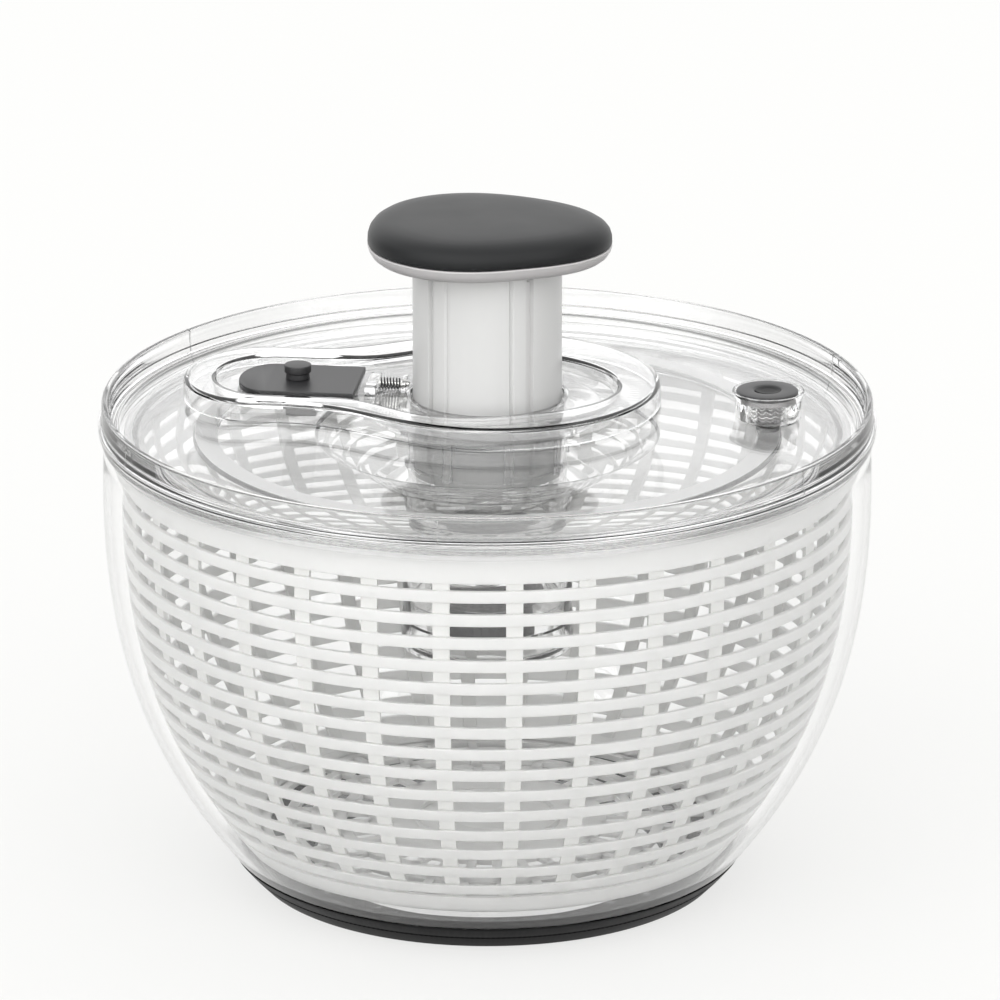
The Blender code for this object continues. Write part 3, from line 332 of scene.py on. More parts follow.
def copies_round(obj, count, start=0.0):
    """The piece and its turned copies, joined into one object."""
    made = []
    for i in range(count):
        copy = obj.copy()
        copy.data = obj.data.copy()
        copy.data.transform(Matrix.Rotation(start + 2 * math.pi * i / count, 4, 'Z'))
        bpy.context.collection.objects.link(copy)
        made.append(copy)
    bpy.data.objects.remove(obj, do_unlink=True)
    return joined(made[0].name.split(".")[0], made)


def joined(name, pieces):
    deselect()
    for piece in pieces:
        piece.select_set(True)
    bpy.context.view_layer.objects.active = pieces[0]
    bpy.ops.object.join()
    pieces[0].name = name
    return pieces[0]


def modified(obj, kind, **settings):
    """Adds a modifier with its settings and applies it."""
    pick(obj)
    step = obj.modifiers.new(kind.title(), kind)
    for key, value in settings.items():
        setattr(step, key, value)
    bpy.ops.object.modifier_apply(modifier=step.name)
    return obj


def spring(name, centre, axis, length_, radius, wire, turns):
    """A closed-end compression spring as a round wire on a helix."""
    per_turn = 28
    curve = bpy.data.curves.new(name, 'CURVE')
    curve.dimensions = '3D'
    curve.bevel_depth = wire
    curve.bevel_resolution = 3
    curve.use_fill_caps = True
    spline = curve.splines.new('POLY')
    count = int(turns * per_turn)
    spline.points.add(count)
    turn = Vector(AXIS_Z).rotation_difference(Vector(axis)).to_matrix()
    for i, point in enumerate(spline.points):
        angle = 2 * math.pi * i / per_turn
        rise = length_ * i / count
        place = Vector((radius * math.cos(angle), radius * math.sin(angle), rise))
        point.co = (*(Vector(centre) + turn @ place), 1.0)
    obj = bpy.data.objects.new(name, curve)
    bpy.context.collection.objects.link(obj)
    pick(obj)
    bpy.ops.object.convert(target='MESH')
    return soften(bpy.context.object, 60.0)


def finish(obj, body, material, nodes=()):
    """Gives a piece its material and its body, and hides the CAD nodes that it stands for."""
    obj.data.materials.clear()
    obj.data.materials.append(material)
    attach(obj, body)
    if nodes:
        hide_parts(*nodes)
    return obj


def compress(coil):
    """Gives the spring a mesh of its own; the spring is not shortened here."""
    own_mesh(coil)


# ---- Materials -------------------------------------------------------------------------
def add(tree, kind, settings=None, inputs=None):
    """Adds a node, with its settings and with values or links on its inputs."""
    item = tree.nodes.new(kind)
    for key, value in (settings or {}).items():
        setattr(item, key, value)
    for key, value in (inputs or {}).items():
        if isinstance(value, bpy.types.NodeSocket):
            tree.links.new(value, item.inputs[key])
        else:
            item.inputs[key].default_value = value
    return item


def start_material(name):
    mat = bpy.data.materials.get(name)
    if mat:
        return mat, None, None
    mat = bpy.data.materials.new(name)
    mat.use_nodes = True
    tree = mat.node_tree
    return mat, tree, tree.nodes["Principled BSDF"]


def set_shader(shader, colour_, **values):
    shader.inputs["Base Color"].default_value = (*colour_, 1.0)
    for key, value in values.items():
        shader.inputs[key.replace("_", " ")].default_value = value


def palette():
    return bpy.context.scene.spinner_finish


def grain(tree, shader, scale, detail, strength, distance=0.0001):
    """Relief of a moulded face: noise in the piece's own space tilts the normals."""
    place = add(tree, "ShaderNodeTexCoord")
    noise = add(tree, "ShaderNodeTexNoise", None,
                {"Vector": place.outputs["Object"], "Scale": scale, "Detail": detail})
    relief = add(tree, "ShaderNodeBump", None, {"Strength": strength, "Distance": distance,
                                                "Height": noise.outputs["Fac"]})
    tree.links.new(relief.outputs["Normal"], shader.inputs["Normal"])


def uneven_gloss(tree, shader, scale, least, most):
    """Roughness that drifts between two values over the piece."""
    place = add(tree, "ShaderNodeTexCoord")
    noise = add(tree, "ShaderNodeTexNoise", None,
                {"Vector": place.outputs["Object"], "Scale": scale, "Detail": 3.0})
    rough = add(tree, "ShaderNodeMapRange", None,
                {"Value": noise.outputs["Fac"], "To Min": least, "To Max": most})
    tree.links.new(rough.outputs["Result"], shader.inputs["Roughness"])


def plain(name, tint, texture, **values):
    """One colour with a moulded texture, given as the grain's scale, detail and strength."""
    mat, tree, shader = start_material(name)
    if tree:
        set_shader(shader, tint, **values)
        grain(tree, shader, *texture)
    return mat


def clear_plastic():
    """Injection-moulded SAN: water clear, with the slight waviness of a polished mould."""
    return plain("clear SAN, polished mould", palette().clear, (18.0, 1.0, 0.05, 0.0004),
                 Roughness=0.0, IOR=1.49, Transmission_Weight=1.0)


def white_plastic():
    """White polypropylene, moulded: soft satin, a little light passes into it."""
    mat, tree, shader = start_material("white polypropylene, satin")
    if tree:
        base = palette().white
        set_shader(shader, base, Roughness=0.32, IOR=1.49, Subsurface_Weight=0.5,
                   Subsurface_Radius=(0.004, 0.004, 0.004), Subsurface_Scale=1.0)
        place = add(tree, "ShaderNodeTexCoord")
        cloud = add(tree, "ShaderNodeTexNoise", None,
                    {"Vector": place.outputs["Object"], "Scale": 35.0, "Detail": 2.0})
        shade = add(tree, "ShaderNodeMix", {"data_type": 'RGBA'},
                    {0: cloud.outputs["Fac"], 6: (*base, 1.0),
                     7: (*(0.97 * c for c in base), 1.0)})
        tree.links.new(shade.outputs[2], shader.inputs["Base Color"])
        grain(tree, shader, 1400.0, 2.0, 0.05)
    return mat


def shaded_white():
    """White polypropylene, matt, with painted shade: the basket's ribs are coloured a little greyer for
    the shade they stand in behind the hoops.
    """
    return plain("white polypropylene, matt, painted shade", palette().rib, (1100.0, 2.0, 0.10),
                 Roughness=0.45, IOR=1.49)


def column_plastic():
    """Natural acetal of the plunger: milky, so that it reads greyer than the basket."""
    return plain("natural acetal, satin", palette().column, (1300.0, 2.0, 0.05),
                 Roughness=0.30, IOR=1.48)


def pale_plastic():
    """Light grey ABS with a fine spark-eroded texture."""
    return plain("light grey ABS, fine texture", palette().pale, (1800.0, 1.0, 0.10),
                 Roughness=0.38, IOR=1.54)


def soft_touch():
    """Charcoal thermoplastic elastomer, moulded matt: a dusty sheen, no sharp gloss."""
    mat, tree, shader = start_material("charcoal elastomer, soft touch")
    if tree:
        set_shader(shader, palette().soft, Roughness=0.45, IOR=1.50, Specular_IOR_Level=0.22,
                   Sheen_Weight=0.10, Sheen_Roughness=0.40)
        uneven_gloss(tree, shader, 60.0, 0.44, 0.54)
        grain(tree, shader, 2600.0, 1.0, 0.18)
    return mat


def charcoal_plastic():
    """Charcoal ABS, moulded with a satin texture."""
    return plain("charcoal ABS, satin", palette().charcoal, (1500.0, 2.0, 0.12),
                 Roughness=0.40, IOR=1.54, Specular_IOR_Level=0.40)


def black_rubber():
    """Black silicone rubber with a low wet-looking gloss."""
    mat, tree, shader = start_material("black silicone, moulded")
    if tree:
        set_shader(shader, palette().rubber, Roughness=0.34, IOR=1.43, Specular_IOR_Level=0.12)
        uneven_gloss(tree, shader, 220.0, 0.32, 0.44)
    return mat


def pad_silicone():
    """Light grey silicone of the brake's pad."""
    return plain("light grey silicone", palette().pad, (1200.0, 2.0, 0.15),
                 Roughness=0.55, IOR=1.43)


def frosted_plastic():
    """Spark-eroded clear SAN: the brake's track scatters light and reads as milky white."""
    return plain("clear SAN, spark-eroded", palette().frost, (900.0, 2.0, 0.25),
                 Roughness=0.5, IOR=1.49, Transmission_Weight=0.35)


def stainless_steel():
    """Cold-drawn stainless wire and bar: bright, with fine drawing lines."""
    mat, tree, shader = start_material("stainless steel, drawn")
    if tree:
        set_shader(shader, palette().steel, Roughness=0.24, Metallic=1.0)
        place = add(tree, "ShaderNodeTexCoord")
        stretch = add(tree, "ShaderNodeMapping", None,
                      {"Vector": place.outputs["Object"], "Scale": (1800.0, 1800.0, 60.0)})
        lines = add(tree, "ShaderNodeTexNoise", None,
                    {"Vector": stretch.outputs["Vector"], "Scale": 1.0, "Detail": 2.0})
        rough = add(tree, "ShaderNodeMapRange", None,
                    {"Value": lines.outputs["Fac"], "To Min": 0.16, "To Max": 0.34})
        tree.links.new(rough.outputs["Result"], shader.inputs["Roughness"])
    return mat


# ---- Curves of the object --------------------------------------------------------------
def side_point(t, inset=0.0):
    """Point on the bowl's side curve, t from 0 at the foot to 1 at the rim, moved inwards."""
    bowl = bpy.context.scene.spinner_bowl
    span = bowl.mouth - bowl.foot
    rim = high("bowl").z
    p0 = Vector((bowl.foot, 0.0))
    p1 = Vector((bowl.foot + 0.752 * span, 0.262 * rim))
    p2 = Vector((bowl.foot + 1.081 * span, 0.532 * rim))
    p3 = Vector((bowl.mouth, rim))
    u = 1.0 - t
    place = u ** 3 * p0 + 3 * u * u * t * p1 + 3 * u * t * t * p2 + t ** 3 * p3
    run = 3 * u * u * (p1 - p0) + 6 * u * t * (p2 - p1) + 3 * t * t * (p3 - p2)
    return place + inset * Vector((-run.y, run.x)).normalized()


def side_radius(height, inset=0.0):
    low_t, high_t = 0.0, 1.0
    for _ in range(30):
        middle = (low_t + high_t) / 2
        if side_point(middle, inset).y < height:
            low_t = middle
        else:
            high_t = middle
    return side_point(low_t, inset).x


def basket_radius(height):
    basket = bpy.context.scene.spinner_basket
    bottom, top = low("basket").z, high("basket").z
    share = (height - bottom) / (top - bottom)
    room = basket.gap_low + share * (basket.gap_top - basket.gap_low)
    return side_radius(height, bpy.context.scene.spinner_bowl.wall + room)


def lid_height(radius):
    """Top of the lid's domed floor."""
    lid = bpy.context.scene.spinner_lid
    inner = high("lid_shell").x - 0.0013 - lid.wall
    out = max(0.0, radius - lid.flat) / (inner - lid.flat)
    return RIM_TOP - lid.recess + lid.rise * (1.0 - out * out)


KNOB_RADII = (0.0449, 0.0401, 0.0350, 0.0357, 0.0403, 0.0425,
              0.0410, 0.0420, 0.0404, 0.0374, 0.0343, 0.0405)   # every 30 degrees from +X


def knob_radius(angle, grow=0.0):
    """Outline of the knob: a closed B-spline, with one rounded corner towards +X."""
    count = len(KNOB_RADII)
    place = (angle / (2 * math.pi) * count) % count
    i = int(place)
    t = place - i
    before, here, after, last = (KNOB_RADII[(i + k) % count] for k in (-1, 0, 1, 2))
    return grow + ((1 - t) ** 3 * before + (4 - 6 * t ** 2 + 3 * t ** 3) * here
                   + (1 + 3 * t + 3 * t ** 2 - 3 * t ** 3) * after + t ** 3 * last) / 6


def bar_distance(x, y, half, tip, end):
    """Signed distance to a bar along -X with an elliptical end; negative inside."""
    start = end - tip
    if x >= start:
        return abs(y) - half
    across = math.hypot((x - start) / end, y / half)
    return (across - 1.0) * (end + half) / 2


def soft_min(a, b, blend):
    """Smaller of two distances, with a rounded inside corner of about that size."""
    h = max(blend - abs(a - b), 0.0) / blend
    return min(a, b) - h * h * blend / 4


def ray_radius(distance, angle, inset=0.0):
    """Where a ray from the axis leaves the shape that a distance function describes."""
    near, far = 0.0, 0.13
    for _ in range(32):
        middle = (near + far) / 2
        if distance(middle * math.cos(angle), middle * math.sin(angle)) < -inset:
            near = middle
        else:
            far = middle
    return near


def cover_outside(x, y):
    cover = bpy.context.scene.spinner_cover
    round_part = math.hypot(x - cover.shift, y - 0.8 * cover.shift) - cover.radius
    bar = bar_distance(x, y, cover.arm_half, cover.arm, cover.arm_end) if x < 0 else 1.0
    return soft_min(round_part, bar, cover.blend)


def cover_inside(x, y):
    """The recess inside the raised border: the knob's outline and the slider's trough."""
    cover = bpy.context.scene.spinner_cover
    angle = math.atan2(y, x)
    nest = math.hypot(x, y) - knob_radius(angle, cover.margin)
    bar = bar_distance(x, y, 0.0225, 0.0945, 0.0200) if x < 0 else 1.0
    return soft_min(nest, bar, 0.012)


def keyhole_angles(count=200):
    """Angles round the axis, closer together along the arm."""
    angles = []
    for i in range(count):
        t = 2 * math.pi * i / count
        angles.append(t + 0.55 * math.sin(t))
    return angles


def keyhole_ring(distance, inset, height, angles):
    points = []
    for angle in angles:
        r = ray_radius(distance, angle, inset)
        points.append((r * math.cos(angle), r * math.sin(angle), height))
    return points


def circle_ring(radius, height, angles):
    return [(radius * math.cos(a), radius * math.sin(a), height) for a in angles]


def even_angles(count):
    return [2 * math.pi * i / count for i in range(count)]


# ---- Pieces ----------------------------------------------------------------------------
class SPINNER_OT_bowl(bpy.types.Operator):
    """Clear bowl with a rim bead, a pivot for the basket and a black base ring"""
    bl_idname = "spinner.bowl"
    bl_label = "Bowl"

    def execute(self, context):
        bowl = context.scene.spinner_bowl
        rim = high("bowl").z
        bottom = low("bowl").z
        floor = bottom + 3.0 * MM
        count = 40
        outer = [tuple(side_point(0.985 - 0.915 * i / count)) for i in range(count)]
        inner = [tuple(side_point(0.985 - 0.885 * i / count, bowl.wall)) for i in range(count)]
        seat = high("base_ring").z + 0.3 * MM
        rebate = side_radius(seat) - 3.1 * MM
        corner = side_radius(floor + 9 * MM, bowl.wall)
        centre = rounded([(0.0, 0.0200, 0), (0.0030, 0.0200, MM), (0.0110, floor, 2 * MM),
                          (corner - 9 * MM, floor, 10 * MM), (corner, floor + 9 * MM, 0)], 8)
        wall = [p for p in reversed(inner) if floor + 9.5 * MM < p[1] < rim - 2 * MM]
        edge = rounded([(bowl.mouth - bowl.wall, rim - 3 * MM, 0),
                        (bowl.mouth - bowl.wall, rim, 0.6 * MM),
                        (bowl.mouth + bowl.bead, rim, 0.8 * MM),
                        (bowl.mouth + bowl.bead, rim - 2.4 * MM, 0.5 * MM),
                        (bowl.mouth, rim - 2.8 * MM, 0)], 5)
        side = [p for p in outer if seat + MM < p[1] < rim - 4 * MM]
        foot = rounded([(side_radius(seat), seat, 0), (rebate, seat, 0.4 * MM),
                        (rebate - 3.2 * MM, bottom, 1.5 * MM), (0.0, bottom, 0)], 5)
        piece = turned("clear_bowl", centre + wall + edge + side + foot, 256)
        finish(piece, "bowl", clear_plastic(), ["bowl"])
        self.base_ring()
        return {'FINISHED'}

    def base_ring(self):
        """Rubber ring moulded onto the bowl's foot: a thin skirt, a fine step and ribs."""
        bowl = bpy.context.scene.spinner_bowl
        top = high("base_ring").z
        table = low("base_ring").z
        skirt = bowl.skirt
        bond = 0.05 * MM
        seat = top + 0.3 * MM + bond
        rebate = side_radius(top + 0.3 * MM) - 3.1 * MM - bond
        under = low("bowl").z + bond
        profile = [(side_radius(skirt - (skirt - seat) * i / 4) - bond,
                    skirt - (skirt - seat) * i / 4, 0) for i in reversed(range(5))]
        profile += [(side_radius(skirt) + 0.35 * MM, skirt, 0.15 * MM),
                    (side_radius(skirt - 0.8 * MM) + 0.5 * MM, skirt - 0.8 * MM, 0.1 * MM),
                    (side_radius(top + 0.6 * MM) + 0.5 * MM, top + 0.6 * MM, 0.15 * MM),
                    (side_radius(top + 0.5 * MM) + 0.05 * MM, top + 0.5 * MM, 0.1 * MM),
                    (side_radius(top - 0.1 * MM) + 0.05 * MM, top - 0.1 * MM, 0.1 * MM),
                    (side_radius(top - 0.2 * MM) + 0.5 * MM, top - 0.2 * MM, 0.15 * MM),
                    (bowl.foot + 1.0 * MM, table + 0.9 * MM, MM),
                    (bowl.foot - 2.4 * MM, table, 1.2 * MM),
                    (0.0620, table, 0.3 * MM), (0.0620, under, 0.3 * MM),
                    (rebate - 3.2 * MM, under, 0), (rebate, seat, 0)]
        piece = turned("rubber_base_ring", rounded(profile, 3), 2 * bowl.ring_ribs)
        self.rib(piece, bowl.foot, skirt - 0.9 * MM, 2 * bowl.ring_ribs)
        finish(piece, "bowl", black_rubber(), ["base_ring"])

    def rib(self, piece, radius, top, steps):
        """Every other column of the outer face steps in a little, which makes the ribs."""
        for vert in piece.data.vertices:
            x, y, z = vert.co
            r = math.hypot(x, y)
            if r < max(radius - 0.8 * MM, side_radius(z) + 0.2 * MM) or z > top or z < 0.4 * MM:
                continue
            column = round(math.atan2(y, x) / (2 * math.pi / steps))
            if column % 2:
                shrink = 1.0 - 0.30 * MM / r
                vert.co.x *= shrink
                vert.co.y *= shrink


class SPINNER_OT_basket(bpy.types.Operator):
    """White basket: a top band, flat hoops on upright ribs, a bottom band and a floor"""
    bl_idname = "spinner.basket"
    bl_label = "Basket"

    def execute(self, context):
        basket = context.scene.spinner_basket
        bottom, top = low("basket").z, high("basket").z
        pieces = [self.band("top_band", top - 10.5 * MM, top, 8)]
        for i in range(basket.rings):
            middle = basket.first_ring - i * basket.pitch
            pieces.append(self.band("hoop", middle - basket.hoop / 2, middle + basket.hoop / 2, 3))
        pieces.append(self.lower_part(bottom))
        pieces.append(self.floor_ribs(bottom))
        piece = joined("lattice_basket", pieces)
        finish(piece, "basket", white_plastic(), ["basket"])
        # The ribs take the greyer white, which is painted shade for their place behind the hoops.
        finish(self.ribs(bottom, top), "basket", shaded_white(), ["basket"])
        return {'FINISHED'}

    def band(self, name, low_z, high_z, rows):
        """A hoop with rounded edges that follows the basket's side."""
        basket = bpy.context.scene.spinner_basket
        thick = basket.thick
        heights = [low_z + (high_z - low_z) * i / rows for i in range(rows + 1)]
        outer = [(basket_radius(z), z) for z in reversed(heights)]
        inner = [(basket_radius(z) - thick, z) for z in heights]
        return turned(name, self.closed(outer, inner), 160)

    def closed(self, outer, inner):
        """Loop of both faces with its four edges rounded."""
        loop = [(*p, 0) for p in outer] + [(*p, 0) for p in inner]
        edge = 0.45 * MM
        marked = {0, len(outer) - 1, len(outer), len(loop) - 1}
        loop = [(r, z, edge if i in marked else 0) for i, (r, z, _) in enumerate(loop)]
        middle = ((loop[-1][0] + loop[0][0]) / 2, (loop[-1][1] + loop[0][1]) / 2, 0)
        return rounded([middle] + loop + [middle], 3)[:-1]

    def lower_part(self, bottom):
        """Bottom band, floor corner and the pocket that sits on the bowl's pivot."""
        thick = 2.0 * MM
        band_top = bottom + 8.5 * MM
        heights = [band_top - 8.0 * MM * i / 6 for i in range(6)]
        outer = [(basket_radius(z), z) for z in heights]
        corner = basket_radius(bottom + 2 * MM)
        inner = [(r - thick, z) for r, z in reversed(outer)]
        profile = [(0.0, 0.0203 + thick), (0.0050, 0.0203 + thick), (0.0120, bottom + thick),
                   (0.0240, bottom + thick), (0.0240, bottom + 4 * MM), (0.0260, bottom + 4 * MM),
                   (0.0260, bottom + thick), (0.0420, bottom + thick), (0.0420, bottom),
                   (0.0100, bottom), (0.0045, 0.0203), (0.0, 0.0203)]
        hub = turned("hub", profile, 96)
        rim = turned("bottom_band", inner + outer + [(corner - 4 * MM, bottom),
                                                      (corner - 9 * MM, bottom),
                                                      (corner - 9 * MM, bottom + thick),
                                                      (corner - 5 * MM, bottom + thick)], 160)
        hoops = [hub, rim]
        for radius in (0.0500, 0.0590, 0.0680, 0.0770):
            hoops.append(turned("floor_hoop", rounded([
                (radius, bottom + thick, 0), (radius + 4 * MM, bottom + thick, 0.4 * MM),
                (radius + 4 * MM, bottom, 0.4 * MM), (radius, bottom, 0.4 * MM)], 2), 128))
        return joined("bottom", hoops)

    def ribs(self, bottom, top):
        """Upright ribs behind the hoops, each a bar that follows the basket's side."""
        basket = bpy.context.scene.spinner_basket
        low_z, high_z = bottom + 4 * MM, top - 6 * MM
        half = basket.rib_width / 2
        thick = 1.5 * MM
        rows = 26
        rings = []
        for i in range(rows + 1):
            z = low_z + (high_z - low_z) * i / rows
            r = basket_radius(z) - 0.92 * basket.thick
            width = half * (0.86 + 0.14 * i / rows)
            edge = 0.35 * MM
            rings.append([(width, -r, z), (width, -r + thick - edge, z),
                          (width - edge, -r + thick, z), (-width + edge, -r + thick, z),
                          (-width, -r + thick - edge, z), (-width, -r, z)])
        rib = loft("basket_ribs", rings)
        return copies_round(rib, basket.ribs)

    def floor_ribs(self, bottom):
        basket = bpy.context.scene.spinner_basket
        reach = basket_radius(bottom + 2 * MM) - 5 * MM
        bar = block("floor_rib", (3.2 * MM, reach - 0.040, 1.8 * MM),
                    (0.0, -(reach + 0.040) / 2, bottom + 1.0 * MM), 0.3 * MM)
        return copies_round(bar, basket.ribs)


class SPINNER_OT_lid(bpy.types.Operator):
    """Clear lid: upright rim, domed floor, plug ring and the brake's cup"""
    bl_idname = "spinner.lid"
    bl_label = "Lid"

    def execute(self, context):
        pieces = [self.shell(), self.brake_cup(), self.marks()]
        for piece in pieces:
            finish(piece, "lid", clear_plastic(), ["lid_shell"])
        return {'FINISHED'}

    def shell(self):
        lid = bpy.context.scene.spinner_lid
        radius = high("lid_shell").x - 1.3 * MM
        skirt = high("bowl").z + 0.3 * MM
        inner = radius - lid.wall
        plug = side_radius(high("bowl").z - 2.8 * MM, 2.5 * MM) - 0.6 * MM
        plug_low = low("lid_shell").z
        hole = 0.0279
        radii = [hole + (inner - 3 * MM - hole) * i / 20 for i in range(21)]
        top = [(r, lid_height(r), 0) for r in radii]
        under = [(r, z - lid.floor, 0) for r, z, _ in top if r < plug - 5 * MM]
        corners = [(*top[-1][:2], 0), (inner - 0.8 * MM, lid_height(inner), 1.5 * MM),
                   (inner, RIM_TOP - 0.4 * MM, 0.5 * MM), (inner + 0.3 * MM, RIM_TOP, 0.5 * MM),
                   (radius, RIM_TOP, 0.8 * MM), (radius + 0.3 * MM, skirt + 3.4 * MM, 0.3 * MM),
                   (radius + 1.3 * MM, skirt + 2.6 * MM, 0.3 * MM),
                   (radius + 1.3 * MM, skirt, 0.4 * MM), (plug + 0.4 * MM, skirt, 0.4 * MM),
                   (plug, plug_low, 0.5 * MM), (plug - 1.6 * MM, plug_low, 0.5 * MM),
                   (plug - 1.8 * MM, lid_height(plug) - lid.floor, 1.0 * MM)]
        corners += list(reversed(under)) + top
        return turned("clear_lid", rounded(corners, 4)[:-1], 256)

    def brake_cup(self):
        """Cup round the brake button: flared, with fine flutes and a lip."""
        pump = bpy.context.scene.spinner_pump
        foot = lid_height(pump.track) - 0.6 * MM
        top = high("lid_shell").z
        count = 96
        rings = []
        for radius, z, depth in ((0.0108, foot, 0), (0.0111, foot + 1.4 * MM, 0),
                                 (0.0112, foot + 1.6 * MM, 1), (0.0117, top - 3.0 * MM, 1),
                                 (0.0119, top - 2.7 * MM, 0), (0.0123, top - 1.2 * MM, 0),
                                 (0.0125, top - 0.6 * MM, 0), (0.0125, top - 0.15 * MM, 0),
                                 (0.0123, top, 0), (0.0117, top, 0), (0.0115, top - 0.3 * MM, 0),
                                 (0.0114, foot + 1.0 * MM, 0)):
            ring = []
            for i, angle in enumerate(even_angles(count)):
                r = radius - (0.12 * MM if depth and i % 4 < 2 else 0.0)
                ring.append((r * math.cos(angle), r * math.sin(angle), z))
            rings.append(ring)
        floor_ = [(x * 0.4, y * 0.4, foot + 0.8 * MM) for x, y, z in rings[-1]]
        hole = [(x * 0.4, y * 0.4, foot + 0.1 * MM) for x, y, z in rings[-1]]
        cup = outward(loft("brake_cup", rings + [floor_, hole, rings[0]], caps=False))
        return moved(cup, (pump.track, 0.0, 0.0))

    def marks(self):
        """Fine upright lines where the mould's slides met."""
        lid = bpy.context.scene.spinner_lid
        radius = high("lid_shell").x - 1.3 * MM
        tall = 8.2 * MM
        line = block("rim_mark", (0.5 * MM, 0.5 * MM, tall),
                     (0.0, -radius - 0.1 * MM, RIM_TOP - 0.6 * MM - tall / 2), 0.1 * MM)
        return copies_round(line, lid.marks)


class SPINNER_OT_cover(bpy.types.Operator):
    """Clear keyhole cover: a raised border round the knob's nest and the slider's trough"""
    bl_idname = "spinner.cover"
    bl_label = "Pump cover"

    def execute(self, context):
        cover = context.scene.spinner_cover
        angles = keyhole_angles()
        base = low("pump_cover").z
        top = base + 7.4 * MM
        nest = base + 3.4 * MM
        hole = 0.0265
        rings = [
            keyhole_ring(cover_outside, 0.0, base, angles),
            keyhole_ring(cover_outside, 0.3 * MM, top - 1.6 * MM, angles),
            keyhole_ring(cover_outside, 0.7 * MM, top - 0.6 * MM, angles),
            keyhole_ring(cover_outside, 1.4 * MM, top - 0.12 * MM, angles),
            keyhole_ring(cover_outside, 2.4 * MM, top, angles),
            keyhole_ring(cover_inside, -2.2 * MM, top - 0.1 * MM, angles),
            keyhole_ring(cover_inside, -1.2 * MM, top - 0.4 * MM, angles),
            keyhole_ring(cover_inside, -0.5 * MM, top - 1.1 * MM, angles),
            keyhole_ring(cover_inside, -0.1 * MM, nest + 1.0 * MM, angles),
            keyhole_ring(cover_inside, 0.3 * MM, nest + 0.3 * MM, angles),
            keyhole_ring(cover_inside, 1.1 * MM, nest, angles),
            circle_ring(hole + 1.0 * MM, nest, angles),
            circle_ring(hole + 0.3 * MM, nest - 0.2 * MM, angles),
            circle_ring(hole, nest - 0.9 * MM, angles),
            circle_ring(hole, base + 0.1 * MM, angles),
        ]
        piece = outward(loft("clear_cover", rings, caps=False), merge=False)
        self.face_up(piece)
        modified(piece, 'SOLIDIFY', thickness=cover.shell, offset=-1.0, use_even_offset=True)
        soften(piece, 35.0)
        stop = block("spring_stop", (1.8 * MM, 9 * MM, 4 * MM),
                     (-0.0290, 0.0, nest + 1.9 * MM), 0.3 * MM)
        piece = joined("clear_cover", [piece, stop])
        finish(piece, "lid", clear_plastic(), ["pump_cover"])
        return {'FINISHED'}

    def face_up(self, piece):
        """The open sheet's top faces up, so that its thickness grows down into the cover."""
        up = sum(face.normal.z * face.area for face in piece.data.polygons)
        if up < 0:
            piece.data.flip_normals()


class SPINNER_OT_housing(bpy.types.Operator):
    """Clear guide sleeve with its flange, snap hooks and the ledge of the spring"""
    bl_idname = "spinner.housing"
    bl_label = "Pump housing"

    def execute(self, context):
        lower = low("pump_housing").z
        upper = high("pump_housing").z
        bore, outer = 0.0262, 0.0276
        flange_top = lid_height(0.03) - 2.1 * MM
        profile = rounded([
            (bore, 0.1600, 0), (bore, upper, 0.3 * MM), (outer, upper, 0.3 * MM),
            (outer, flange_top, 0.3 * MM), (0.0400, flange_top, 0.5 * MM),
            (0.0400, flange_top - 2.5 * MM, 0.5 * MM), (outer, flange_top - 2.5 * MM, 0.8 * MM),
            (outer, 0.1500, 0.2 * MM), (outer + 0.25 * MM, 0.1495, 0.2 * MM),
            (outer + 0.25 * MM, 0.1475, 0.2 * MM), (outer, 0.1470, 0.2 * MM),
            (outer, lower, 0.4 * MM), (0.0182, lower, 0.3 * MM), (0.0182, lower + 2 * MM, 0.3 * MM),
            (0.0268, lower + 2 * MM, 0.5 * MM), (0.0268, 0.1503, 0.2 * MM), (bore, 0.1509, 0.2 * MM)], 4)
        sleeve = turned("clear_housing", profile, 160)
        stalk = block("hook", (3.4 * MM, 1.6 * MM, 13 * MM),
                      (0.0, -outer - 0.2 * MM, 0.1590), 0.3 * MM)
        head = block("hook_head", (3.8 * MM, 2.4 * MM, 2.6 * MM),
                     (0.0, -outer - 0.6 * MM, 0.1512), 0.5 * MM)
        ring = copies_round(joined("hook", [stalk, head]), 8, math.radians(22.5))
        for piece in (sleeve, ring):
            finish(piece, "lid", clear_plastic(), ["pump_housing"])
        return {'FINISHED'}


